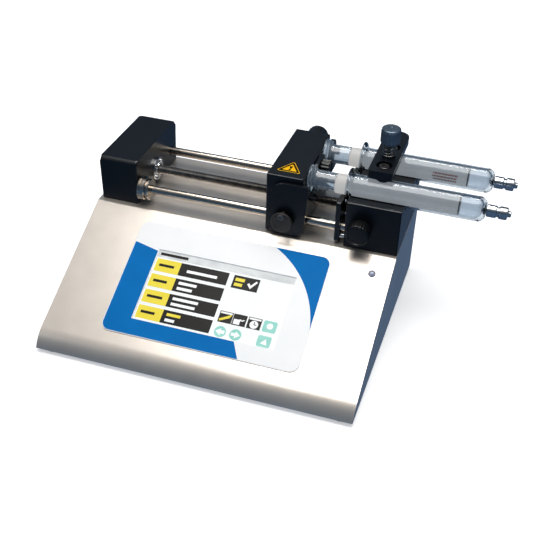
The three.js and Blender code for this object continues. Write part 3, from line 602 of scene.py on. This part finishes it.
# ---- rear connectors
def rear_details():
    """Contacts inside the sockets, posts beside the wide one, and the panel's screws."""
    usb, wide, inlet = span("usb_socket"), span("control_socket"), span("dc_inlet")
    x, z = middle(usb[0]), middle(usb[2])
    tongue = block(((x - 2.8, x + 2.8), (usb[1][0] + 2.2, usb[1][1] - 1.5), (z - 1.6, z + 1.6)), 0.2)
    place(tongue, "usb_tongue", "chassis", "black_plastic")
    contacts, contact_pitch = [], 1.05
    for side in ("in", "out"):
        ends = span(f"serial_socket_{side}")
        for k in range(6):
            u = middle(ends[0]) + (k - 2.5) * contact_pitch
            contacts.append(block(((u - 0.25, u + 0.25), (ends[1][0] + 2.1, ends[1][1] - 3),
                                   (middle(ends[2]) + 3.2, middle(ends[2]) + 4.2)), 0.1))
    place(joined(*contacts), "serial_contacts", "chassis", "bronze")
    pins, pin_pitch = [], 2.76
    for row, count in ((1.4, 8), (-1.4, 7)):
        for k in range(count):
            u = middle(wide[0]) + (k - (count - 1) / 2) * pin_pitch
            profile = drum(wide[1][0] + 2.1, wide[1][1] - 1.5, 0.5, 0.3)
            pins.append(lathe(profile, "Y", u, middle(wide[2]) + row, 12))
    place(joined(*pins), "control_pins", "chassis", "bronze")
    posts = []
    for u in (wide[0][0] - 4, wide[0][1] + 4):
        profile = [(BACK - 1, 0), (BACK - 1, 2.6), (BACK + 0.8, 2.6), (BACK + 0.8, 1.3),
                   (BACK - 0.4, 1.3), (BACK - 0.4, 0)]
        posts.append(lathe(profile, "Y", u, middle(wide[2]), 6))
    for u in (middle(inlet[0]) + 14, 20, 108.8):
        posts.append(lathe(drum(BACK - 0.3, BACK + 0.9, 2.3, 0.5), "Y", u, 42, 24))
    place(joined(*posts), "rear_screws", "chassis", "polished_steel")


# ---- drive end and rods
def drive_end():
    """The block at the left end, hollow over the belt, with holes for the rods and the bearing."""
    (x0, x1), (y0, y1), (z0, z1) = DRIVE_END
    outline = rounded([(y0, z0, 0), (y1, z0, 0), (y1, z1, 3.2), (y0, z1, 3.2)])
    bearing_radius, hollow_right = 8, 18.5
    cutters = [bore("X", y, AXIS_Z, x1 - 12, x1 + 1, ROD_RADIUS + FIT) for y in ROD_YS]
    cutters += [
        block(((x0 + 2.5, hollow_right), (AXIS_Y - 13, AXIS_Y + 13), (z0 - 1, z1 - 6)), 0),
        bore("X", AXIS_Y, AXIS_Z, hollow_right - 0.5, x1 + 1, bearing_radius + FIT)]
    dress(cut(extrusion(outline, "X", x0, x1, bevel=1.4, segments=4), *cutters), "drive_end_block")


def rods():
    for side, ends in (("front", ROD_FRONT), ("rear", ROD_REAR)):
        dress(lathe(rod(*ends[0], ROD_RADIUS, 0.5), "X", middle(ends[1]), AXIS_Z),
              f"guide_rod_{side}", ROD_STEEL)


def lead_screw():
    """A shaft with its thread cut into it: the radius follows the turn and the distance along."""
    pitch, depth, sides, slices = 1.27, 0.55, 24, 5
    low, high, journal, shoulder = *SCREW[0], 2.5, 28.0
    bm = bmesh.new()
    rings = [[bm.verts.new((low, AXIS_Y, AXIS_Z))]]

    def ring(x, radius_at):
        rings.append([
            bm.verts.new((x, AXIS_Y + radius_at(a) * math.cos(a), AXIS_Z + radius_at(a) * math.sin(a)))
            for a in full_turn(sides)])

    ring(low, lambda angle: journal)
    ring(shoulder, lambda angle: journal)
    count = int((high - 1 - shoulder) / pitch * slices)
    for i in range(count + 1):
        x = shoulder + i * pitch / slices
        ring(x, lambda angle: SCREW_RADIUS - depth * abs(2 * ((x / pitch - angle / (2 * math.pi)) % 1) - 1))
    ring(high, lambda angle: SCREW_RADIUS - depth)
    rings.append([bm.verts.new((high, AXIS_Y, AXIS_Z))])
    for a, b in zip(rings, rings[1:]):
        for k in range(sides):
            j = (k + 1) % sides
            loop = dict.fromkeys([a[k % len(a)], a[j % len(a)], b[j % len(b)], b[k % len(b)]])
            bm.faces.new(list(loop))
    dress(made(bm), "lead_screw")


def cap_screw(plane, u, v, base, top, radius):
    """A round head with a hexagon socket, standing from base to top along its axis."""
    way = 1 if top > base else -1
    head = lathe([(base, 0), (base, radius), (top - 0.25 * way, radius), (top, radius - 0.25),
                  (top, 0)], plane, u, v, 28)
    hollow = lathe([(top - 0.6 * way, 0), (top - 0.6 * way, radius * 0.52), (top + way, radius * 0.52),
                    (top + way, 0)], plane, u, v, 6)
    return cut(head, hollow)


def screw_circle(y, z, reach, degrees, base, top, radius):
    """Cap screws spaced round an axis along X."""
    angles = [math.radians(each) for each in degrees]
    return [cap_screw("X", y + reach * math.cos(a), z + reach * math.sin(a), base, top, radius)
            for a in angles]


def bearing_retainer():
    (x0, x1), (y0, y1), _ = span("bearing_retainer")
    radius = (y1 - y0) / 2
    plate = x1 - 1.2
    ring = [(x0, SCREW_RADIUS + FIT), (x0, radius), (plate - 0.3, radius), (plate, radius - 0.3),
            (plate, SCREW_RADIUS + 1.3), (plate + 0.8, SCREW_RADIUS + 1), (plate + 0.8, SCREW_RADIUS + FIT),
            (x0, SCREW_RADIUS + FIT)]
    heads = screw_circle(AXIS_Y, AXIS_Z, 6, (45, 135, 225, 315), plate - 0.1, x1, 1.35)
    dress(joined(lathe(ring, "X", AXIS_Y, AXIS_Z), *heads), "bearing_retainer")


def stop_collar():
    (x0, x1), (y0, y1), _ = span("stop_collar")
    radius, neck, flange = (y1 - y0) / 2, 6.2, 7.4
    hole = ROD_RADIUS + 0.15
    step = x1 - 2.6
    body = lathe([
        (x0, hole), (x0, radius - 0.5), (x0 + 0.5, radius), (x0 + 1.4, radius), (x0 + 1.6, radius - 0.25),
        (x0 + 1.8, radius), (step - 0.5, radius), (step, radius - 0.5), (step, neck), (step + 0.5, neck),
        (step + 0.8, flange), (x1 - 0.4, flange), (x1, flange - 0.4), (x1, hole), (x0, hole)],
        "X", ROD_YS[0], AXIS_Z)
    screws = screw_circle(ROD_YS[0], AXIS_Z, 5.4, range(30, 360, 60), x1 - 0.9, x1 - 0.02, 0.8)
    dress(joined(body, *screws), "stop_collar", ROD_STEEL)


# ---- pusher
NUT = span("half_nut")
PUSHER_X = middle(NUT[0])
STEM_Z = 73.3                   # the release button's stem
STEM_HOLE = 1.7
KNOB_Z, KNOB_HOLE = 90.4, 2.3   # the rear knob's stem, and the holes for both knobs' stems
BUSHING_RADIUS = 4.7


def pusher_block():
    (x0, x1), (y0, y1), (z0, _) = PUSHER
    knob = span("bracket_knob")
    cutters = [bore("X", y, AXIS_Z, x0 - 1, x1 + 1, BUSHING_RADIUS + FIT) for y in ROD_YS]
    cutters += [
        bore("X", AXIS_Y, AXIS_Z, x0 - 1, x1 + 1, SCREW_RADIUS + 0.6),
        block(((NUT[0][0] - FIT, NUT[0][1] + FIT), (NUT[1][0] - 1, NUT[1][1] + 11),
               (z0 - 1, NUT[2][1] + FIT)), 0),
        bore("Y", PUSHER_X, STEM_Z, y0 - 1, AXIS_Y, STEM_HOLE),
        bore("Y", PUSHER_X, KNOB_Z, y1 - 9, y1 + 1, KNOB_HOLE),
        bore("X", AXIS_Y, middle(knob[2]), x1 - 9, x1 + 1, KNOB_HOLE)]
    dress(cut(block(PUSHER, 0.9, 4), *cutters), "pusher_block")


def pusher_cover():
    (x0, x1), (y0, y1), (z0, z1) = COVER
    outline = rounded([(x0, z0, 2), (x1 - 3.3, z0, 4), (x1, z1, 0.8), (x0, z1, 8)])
    hole = bore("Y", PUSHER_X, STEM_Z, y0 - 1, y1 + 1, STEM_HOLE)
    dress(cut(extrusion(outline, "Y", y0, y1, bevel=0.9), hole), "pusher_cover")


def rod_bushings():
    hole = ROD_RADIUS + 0.15
    for side, y in zip(("front", "rear"), ROD_YS):
        x0, x1 = span(f"rod_bushing_{side}")[0]
        profile = [(x0, hole), (x0, BUSHING_RADIUS - 0.3), (x0 + 0.3, BUSHING_RADIUS),
                   (x1 - 0.3, BUSHING_RADIUS), (x1, BUSHING_RADIUS - 0.3), (x1, ROD_RADIUS + 0.5),
                   (x1 - 0.4, hole), (x0, hole)]
        dress(lathe(profile, "X", y, AXIS_Z), f"rod_bushing_{side}")


def release_button():
    """A disc pressed from the front, held to its stem by a plated screw."""
    (x0, x1), (y0, y1), _ = span("release_button")
    radius, disc_z, thick = (x1 - x0) / 2, 68.6, 1.5
    front = y0 + 0.9
    face = lathe([
        (front + 0.25, 0), (front + 0.25, radius - 1.6), (front, radius - 1.3), (front, radius - 0.6),
        (front + 0.2, radius - 0.2), (front + 0.6, radius), (front + thick, radius), (front + thick, 0)],
        "Y", PUSHER_X, disc_z)
    stem = stem_of("Y", PUSHER_X, STEM_Z, front + thick - 0.2, y1, 1.4)
    dress(joined(face, stem), "release_button")
    place(cap_screw("Y", PUSHER_X, STEM_Z, front + 0.6, y0, 2.2), "release_screw", "release_button",
          "plain_steel")


def fluted_knob(plane, u, v, low, high, radius, flutes, depth, dish=0.5):
    """A knob with fluted sides and a shallow dish in its outer face; low is the face that turns outwards."""
    way = 1 if high > low else -1
    return lathe([
        (low + dish * way, 0), (low + dish * way, radius - 1.9), (low, radius - 1.5),
        (low, radius - 0.9), (low + 0.3 * way, radius - 0.4), (low + 0.9 * way, radius, depth),
        (high - 0.9 * way, radius, depth), (high - 0.3 * way, radius - 0.4), (high, radius - 0.9),
        (high, 0)], plane, u, v, flutes * 8, flutes)


def stem_of(plane, u, v, low, high, radius):
    """A plain round stem."""
    return lathe(rod(low, high, radius), plane, u, v, 24)


def stemmed_knob(node, plane, u, face, out, flutes, depth, stem_radius):
    """A fluted knob on its stem. face is its side next to the block; out is 1 or -1, the way it points."""
    across, along, heights = span(node) if plane == "Y" else (span(node)[k] for k in (1, 0, 2))
    root, tip = along[::out]
    z = middle(heights)
    knob = fluted_knob(plane, u, z, tip, face, (across[1] - across[0]) / 2, flutes, depth)
    stem = stem_of(plane, u, z, *sorted((root, face + out)), stem_radius)
    dress(joined(knob, stem), node)


def plunger_bracket():
    """A bar under both flanges, a web between them, tabs in front of them, and a raised end."""
    (x0, x1), (y0, y1), (z0, z1) = BRACKET
    web, tab_left, bar, tab, half = x0 + 2.5, x0 + 4.2, z0 + 2.5, z0 + 5.3, 8.8
    stem = bore("X", AXIS_Y, middle(span("bracket_knob")[2]), x0 - 1, web + 1, KNOB_HOLE)
    pieces = [
        block(((x0, x1), (y0, y1), (z0, bar)), 0.4),
        cut(extrusion(rectangle(AXIS_Y - half, AXIS_Y + half, z0, z1, 1.5), "X", x0, web, bevel=0.4), stem),
        extrusion(rectangle(SYRINGE_YS["rear"] + 10, y1, z0, z1 - 2, 3), "X", x0, web + 0.8, bevel=0.6)]
    for y in SYRINGE_YS.values():
        pieces.append(extrusion(rectangle(y - 6, y + 6, z0, tab, 1.5), "X", tab_left, x1, bevel=0.4))
    dress(joined(*pieces), "plunger_bracket")


def warning_sign():
    """A plain yellow triangle with a black border and a bar over a dot, flat on the pusher's top."""
    top = PUSHER[2][1]
    corners = [(125.4, 120.1), (141.7, 120.1), (133.6, 134)]
    centre = Vector((sum(u for u, _ in corners) / 3, sum(v for _, v in corners) / 3))

    def triangle(share, radius):
        points = [centre + (Vector(corner) - centre) * share for corner in corners]
        return rounded([(p.x, p.y, radius) for p in points])

    plate = extrusion(triangle(1, 0.9), "Z", top, top + INK)
    place(plate, "sign_plate", "pusher", "label_film", PRINTS["yellow"])
    border = cut(extrusion(triangle(0.9, 0.7), "Z", top + INK, top + 2 * INK),
                 extrusion(triangle(0.62, 0.5), "Z", top, top + 1))
    stroke = [(132.5, 127.6), (134.7, 127.6), (134.1, 124.4), (133.1, 124.4)]
    bar = extrusion(stroke, "Z", top + INK, top + 2 * INK)
    dot = extrusion(circle(133.6, 123.1, 0.85, 16), "Z", top + INK, top + 2 * INK)
    place(joined(border, bar, dot), "sign_print", "pusher", "label_film", PRINTS["black"])


# ---- cradle, retainer and clamp
def syringe_cradle():
    """A block with a V groove under each barrel, and blind holes for the rods, screw, pins and stems."""
    rods_end, screw_end = 205.3, 198
    (x0, x1), (y0, y1), (z0, z1) = CRADLE
    root = SYRINGE_Z - (BARREL_RADIUS + FIT) * math.sqrt(2)
    rise = z1 + 1 - root
    outline = rounded([(y0, z0, 0), (y1, z0, 0), (y1, z1, 1.0), (y0, z1, 1.0)])
    cutters = []
    for y in SYRINGE_YS.values():
        vee = rounded([(y, root, 0.8), (y + rise, root + rise, 0), (y - rise, root + rise, 0)])
        cutters.append(extrusion(vee, "X", x0 - 1, x1 + 1))
    cutters += [bore("X", y, AXIS_Z, x0 - 1, rods_end, ROD_RADIUS + FIT) for y in ROD_YS]
    for node in ("front", "low", "rear"):
        pin = span(f"retainer_pin_{node}")
        cutters.append(bore("X", middle(pin[1]), middle(pin[2]), x0 - 1, x0 + 13, 1.8, 20))
    knob = span("retainer_knob")
    cutters += [
        bore("X", AXIS_Y, AXIS_Z, x0 - 1, screw_end, SCREW_RADIUS + 0.6),
        bore("Z", STUD_X, AXIS_Y, 75.7, z1 + 1, 2.8),
        bore("Y", middle(knob[0]), middle(knob[2]), y0 - 1, 124.8, 1.5)]
    dress(cut(extrusion(outline, "X", x0, x1, bevel=0.7), *cutters), "syringe_cradle")


def flange_retainer():
    """A plate that holds the barrels' flanges, on three pins that slide in the cradle."""
    (x0, x1), (y0, y1), (z0, z1) = RETAINER
    cutters = [bore("X", y, AXIS_Z, x0, x1, ROD_RADIUS + 0.6, lip=0.3) for y in ROD_YS]
    cutters += [bore("X", y, SYRINGE_Z, x0 - 1, x1 + 1, 7.4, 48) for y in SYRINGE_YS.values()]
    cutters.append(bore("X", AXIS_Y, AXIS_Z, x0, x1, SCREW_RADIUS + 0.6, lip=0.3))
    dress(cut(extrusion(rectangle(y0, y1, z0, z1, 1.5), "X", x0, x1, bevel=0.5), *cutters), "flange_retainer")
    for node in ("front", "low", "rear"):
        (p0, p1), y, z = span(f"retainer_pin_{node}")
        dress(lathe(rod(p0, p1, 1.5, 0.3), "X", middle(y), middle(z), 28), f"retainer_pin_{node}")


def clamp_bar():
    """The bar across both barrels, squarer in front than behind, with a screw sunk in each end."""
    (x0, x1), (y0, y1), (z0, z1) = BAR
    outline = rounded([(x0, y0, 1.8), (x1, y0, 1.8), (x1, y1, 7), (x0, y1, 7)], steps=10)
    cutters = [bore("Z", STUD_X, AXIS_Y, z0 - 1, z1 + 1, 3)]
    for side in ("front", "rear"):
        screw = span(f"clamp_screw_{side}")
        y = middle(screw[1])
        cutters += [bore("Z", STUD_X, y, z1 - 3.2, z1 + 1, 5.2), bore("Z", STUD_X, y, z0 - 1, z1, 2)]
        head = (screw[1][1] - screw[1][0]) / 2
        shaft = stem_of("Z", STUD_X, y, screw[2][0], screw[2][1] - 2.5, 1.7)
        dress(joined(cap_screw("Z", STUD_X, y, screw[2][1] - 2.6, screw[2][1], head), shaft),
              f"clamp_screw_{side}", slot="plain_steel")
    dress(cut(extrusion(outline, "Z", z0, z1, bevel=0.9, segments=4), *cutters), "clamp_bar")


def clamp_pad():
    """The strip under the bar, rounded where it presses on the barrels."""
    (x0, x1), (y0, y1), (z0, z1) = PAD
    outline = arc((x0, z1), (middle((x0, x1)), z0), (x1, z1), 24)
    hole = bore("Z", STUD_X, AXIS_Y, z0 - 1, z1 + 1, 3)
    dress(cut(extrusion(outline, "Y", y0, y1, bevel=0.5), hole), "clamp_pad")


def clamp_post():
    """The stud that stands in the cradle, and the fluted knob on top of it."""
    (x0, x1), _, (z0, z1) = STUD
    dress(lathe(rod(z0, z1, (x1 - x0) / 2, 0.4), "Z", STUD_X, AXIS_Y, 40), "clamp_stud")
    (x0, x1), _, (z0, z1) = CLAMP_KNOB
    radius, hole, roof, grip = (x1 - x0) / 2, 2.8, STUD[2][1] + FIT, 0.22
    knob = lathe([
        (roof, 0), (roof, hole), (z0, hole), (z0, radius - 0.6), (z0 + 0.5, radius - 0.1),
        (z0 + 0.9, radius, grip),
        (z1 - 1.7, radius, grip), (z1 - 1.5, radius - 0.25), (z1 - 0.5, radius - 0.3), (z1, radius - 0.9),
        (z1, 1.6), (z1 - 0.3, 1.3), (z1 - 0.3, 0)], "Z", STUD_X, AXIS_Y, 320, 40)
    dress(knob, "clamp_knob")


def spring(node, start, end, turn, wire, sides):
    """A coil from start to end; turn brings the Z axis to point along it."""
    x0, x1 = span(node)[0]
    start, end = Vector(start), Vector(end)
    piece = swept(coil((end - start).length, (x1 - x0) / 2 - wire, wire, 5), wire, sides)
    piece.data.transform(Matrix.Translation(start) @ turn)
    dress(piece, node)
    return piece, TO_FRAME @ end


def springs():
    """Both springs, each given a mesh of its own."""
    low, high = span("clamp_spring")[2]
    piece, top = spring("clamp_spring", (STUD_X, AXIS_Y, low), (STUD_X, AXIS_Y, high),
                        Matrix.Identity(4), 0.5, 10)
    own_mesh(piece)
    xs, (front, back), zs = span("release_spring")
    x, z = middle(xs), middle(zs)
    piece, end = spring("release_spring", (x, front, z), (x, back, z),
                        Matrix.Rotation(-math.pi / 2, 4, "X"), 0.4, 8)
    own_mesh(piece)


# ---- syringes
def on_syringe(profile, side, sides=64):
    """A piece turned on a syringe's axis."""
    return lathe(profile, "X", SYRINGE_YS[side], SYRINGE_Z, sides)


def glass_barrel(side):
    """An open tube with a rolled flange, a rounded shoulder and a thin nozzle."""
    (x0, tip), y, _ = BARRELS[side]
    end, nozzle = tip - 6, 2.4
    flange = (y[1] - y[0]) / 2
    shoulder = arc((end - 3.8, BARREL_RADIUS), (end - 1.2, BARREL_RADIUS - 1.4), (end, 4.6), 8)
    inside = arc((end - 1.6, 1.2), (end - 2.6, BORE_RADIUS - 1.6), (end - 5, BORE_RADIUS), 8)
    profile = [
        (x0 + 0.3, BORE_RADIUS), (x0, BORE_RADIUS + 0.5), (x0, flange - 0.9), (x0 + 0.3, flange - 0.3),
        (x0 + 1.0, flange), (x0 + 1.7, flange - 0.3), (x0 + 2.1, flange - 0.9),
        (x0 + 2.6, BARREL_RADIUS + 1.2), (x0 + 4, BARREL_RADIUS), *shoulder, (end, nozzle), (tip, nozzle),
        (tip, 1), (end - 1.4, 1), *inside,
        (x0 + 0.3, BORE_RADIUS)]
    dress(on_syringe(profile, side, 72), f"syringe_barrel_{side}")


def luer_tip(side):
    """A turned metal end with two collars and a thin point; the nozzle sits in its bore."""
    (start, end), _, _ = span(f"luer_tip_{side}")
    collars = [
        (0, 2.7), (0, 3.5), (0.4, 3.9), (1, 4), (5.6, 4), (6.2, 3.6), (6.5, 3.2), (7.4, 3.2), (7.7, 3.7),
        (8.2, 4.1), (12.2, 4.1), (12.8, 3.8), (13, 3.4), (13, 2.2), (13.3, 2.05)]
    profile = [(start + along, radius) for along, radius in collars]
    profile += [
        (end - 0.3, 1.9), (end, 1.6), (end, 0.8), (start + 6.4, 0.8), (start + 6.4, 2.7), (start, 2.7)]
    dress(on_syringe(profile, side), f"luer_tip_{side}")


def graduations():
    """Three rows of plain brown-red strokes on the front of the rear barrel."""
    strokes, pitch = [], 1.1
    y = SYRINGE_YS["rear"]
    for row, count, start in ((153, 15, 221), (167, 15, 220.6), (181, 14, 221.4)):
        angles = [math.radians(row + way) for way in (0, 4, 8)]
        outside, inside = (
            [(y + reach * math.cos(angle), SYRINGE_Z + reach * math.sin(angle)) for angle in angles]
            for reach in (BARREL_RADIUS + 0.06, BARREL_RADIUS - 0.1))
        for k in range(count):
            x = start + pitch * k
            strokes.append(extrusion(outside + inside[::-1], "X", x, x + 0.6 + 0.25 * (k % 2)))
    place(joined(*strokes), "graduations", "chassis", "label_film", PRINTS["red"])


def plunger(side):
    """A clear head with a double flange, a frosted body, and a dark disc at the far end."""
    (face, piston), _, _ = span(f"plunger_{side}")
    shoulder, neck, body_radius = 164, 6.3, 6.5
    flange = [
        (0, 0), (0, 8.2), (0.3, 9), (0.8, 9.2), (1.3, 9), (1.7, 8.3), (1.9, 8), (2.2, 8.4), (2.6, 9),
        (3.1, 9.1), (3.5, 8.6), (3.9, 7.2), (4.6, 6.6), (6, neck)]
    profile = [(face + along, radius) for along, radius in flange]
    head = on_syringe(profile + [(shoulder - 0.3, neck), (shoulder - 0.3, 0)], side)
    place(head, f"plunger_head_{side}", "pusher", "clear_glass", NECK_GLASS)
    body = on_syringe([
        (shoulder, 0), (shoulder, neck - 0.3), (shoulder + 0.3, neck), (shoulder + 0.8, body_radius - 0.1),
        (shoulder + 1.4, body_radius), (piston - 0.7, body_radius), (piston - 0.7, 0)], side)
    dress(body, f"plunger_{side}")
    end = on_syringe(drum(piston - 0.65, piston, body_radius - 0.1, 0.25), side)
    place(end, f"plunger_end_{side}", "pusher", "black_plastic")


# ---- stage, light and camera
def carried_nodes():
    """The CAD pieces that show, or lie inside, keep their shape and take the record's finish."""
    for name, node in frame["nodes"].items():
        node.data.materials.clear()
        node.data.materials.append(LOOKS[SLOT_OF[name]])


def floor():
    """A plain pale sheet under the pump that mirrors and bounces nothing back onto it."""
    bpy.ops.mesh.primitive_plane_add(size=8)
    plane = bpy.context.object
    plane.name = "floor"
    paper = finish("floor_paper", "F4F4F4", "FBFBFB", 0.9, mottle=2, grain=300, height=0.01,
                   Emission_Color=(1, 1, 1, 1), Emission_Strength=0.45)
    plane.data.materials.append(paper)
    plane.visible_diffuse = plane.visible_glossy = False


def area_light(name, place_at, size, power, colour=(1, 1, 1), diffuse=True):
    """A rectangular light aimed at the pump; without diffuse it only shows as a streak in shiny surfaces."""
    target = Vector((0.02, 0.02, 0.06))
    light = bpy.data.lights.new(name, "AREA")
    light.shape = "RECTANGLE"
    light.size, light.size_y = size
    light.energy = power
    light.color = colour
    lamp = bpy.data.objects.new(name, light)
    bpy.context.scene.collection.objects.link(lamp)
    lamp.visible_diffuse = diffuse
    lamp.location = place_at
    lamp.rotation_euler = (target - Vector(place_at)).to_track_quat("-Z", "Y").to_euler()


def world():
    """Dim surroundings with a pale ceiling: steel blue from the sides and below, so that what faces
    away from the lights goes dark and cool. Seen straight from the camera they are as pale as the floor."""
    surroundings = bpy.data.worlds.new("studio")
    bpy.context.scene.world = surroundings
    surroundings.use_nodes = True
    nodes, links = surroundings.node_tree.nodes, surroundings.node_tree.links
    coordinates = nodes.new("ShaderNodeTexCoord")
    parts = nodes.new("ShaderNodeSeparateXYZ")
    height = nodes.new("ShaderNodeMapRange")
    height.inputs["From Min"].default_value = -1
    ramp = nodes.new("ShaderNodeValToRGB")
    links.new(coordinates.outputs["Generated"], parts.inputs["Vector"])
    links.new(parts.outputs["Z"], height.inputs["Value"])
    links.new(height.outputs["Result"], ramp.inputs["Fac"])
    stops = [                   # from straight down, 0, to straight up, 1
        (0, (0.07, 0.12, 0.2)), (0.27, (0.08, 0.13, 0.22)), (0.38, (0.07, 0.15, 0.28)),
        (0.52, (0.07, 0.13, 0.21)), (0.65, (0.07, 0.09, 0.12)), (0.8, (0.07, 0.125, 0.19)),
        (0.9, (0.35, 0.35, 0.36)), (1, (0.8, 0.8, 0.8))]
    for element, (position, colour) in zip(ramp.color_ramp.elements, (stops[0], stops[-1])):
        element.position, element.color = position, (*colour, 1)
    for position, colour in stops[1:-1]:
        ramp.color_ramp.elements.new(position).color = (*colour, 1)
    links.new(ramp.outputs["Color"], nodes["Background"].inputs["Color"])
    backdrop = nodes.new("ShaderNodeBackground")
    backdrop.inputs["Color"].default_value = (0.76, 0.78, 0.8, 1)
    sight, choice = nodes.new("ShaderNodeLightPath"), nodes.new("ShaderNodeMixShader")
    links.new(sight.outputs["Is Camera Ray"], choice.inputs[0])
    links.new(nodes["Background"].outputs["Background"], choice.inputs[1])
    links.new(backdrop.outputs["Background"], choice.inputs[2])
    links.new(choice.outputs["Shader"], nodes["World Output"].inputs["Surface"])


def camera():
    """Looks down and to the left at the pump, with a slight roll."""
    azimuth, elevation, roll = 0.2881, 0.6218, 0.0354
    stand = (0.143184, -0.501413, 0.406985)
    right = Vector((math.cos(azimuth), math.sin(azimuth), 0))
    forward = Vector((-math.sin(azimuth) * math.cos(elevation), math.cos(azimuth) * math.cos(elevation),
                      -math.sin(elevation)))
    up = right.cross(forward)
    across = right * math.cos(roll) + up * math.sin(roll)
    upright = up * math.cos(roll) - right * math.sin(roll)
    data = bpy.data.cameras.new("camera")
    data.sensor_width = 36
    data.lens = 62.87
    view = bpy.data.objects.new("camera", data)
    bpy.context.scene.collection.objects.link(view)
    view.matrix_world = Matrix.Translation(stand) @ Matrix(
        (across, upright, -forward)).transposed().to_4x4()
    bpy.context.scene.camera = view


camera()
carried_nodes()
housing_shell()
feet()
overlay()
screen()
status_light()
rear_details()
drive_end()
rods()
lead_screw()
bearing_retainer()
stop_collar()
pusher_block()
pusher_cover()
rod_bushings()
release_button()
stemmed_knob("rear_knob", "Y", PUSHER_X, face=PUSHER[1][1] + 0.4, out=1, flutes=20, depth=0.35, stem_radius=2)
plunger_bracket()
stemmed_knob("bracket_knob", "X", AXIS_Y, face=span("bracket_knob")[0][1] - 6.2, out=1, flutes=14, depth=0.5,
             stem_radius=2)
warning_sign()
syringe_cradle()
flange_retainer()
stemmed_knob("retainer_knob", "Y", middle(span("retainer_knob")[0]), face=CRADLE[1][0] - 0.4, out=-1,
             flutes=24, depth=0.35, stem_radius=1.2)
clamp_bar()
clamp_pad()
clamp_post()
springs()
for side_name in ("front", "rear"):
    glass_barrel(side_name)
    luer_tip(side_name)
    plunger(side_name)
graduations()
floor()
world()
area_light("overhead", place_at=(0.03, 0.0, 0.9), size=(0.75, 0.6), power=6, colour=(1, 0.98, 0.95))
area_light("left_front", place_at=(-0.8, -0.5, 0.55), size=(0.5, 0.5), power=0.7, colour=(1, 0.97, 0.93))
area_light("streak", place_at=(-0.13, 0.41, 0.9), size=(0.5, 0.1), power=3, diffuse=False)
bpy.context.scene.view_settings.view_transform = "Standard"
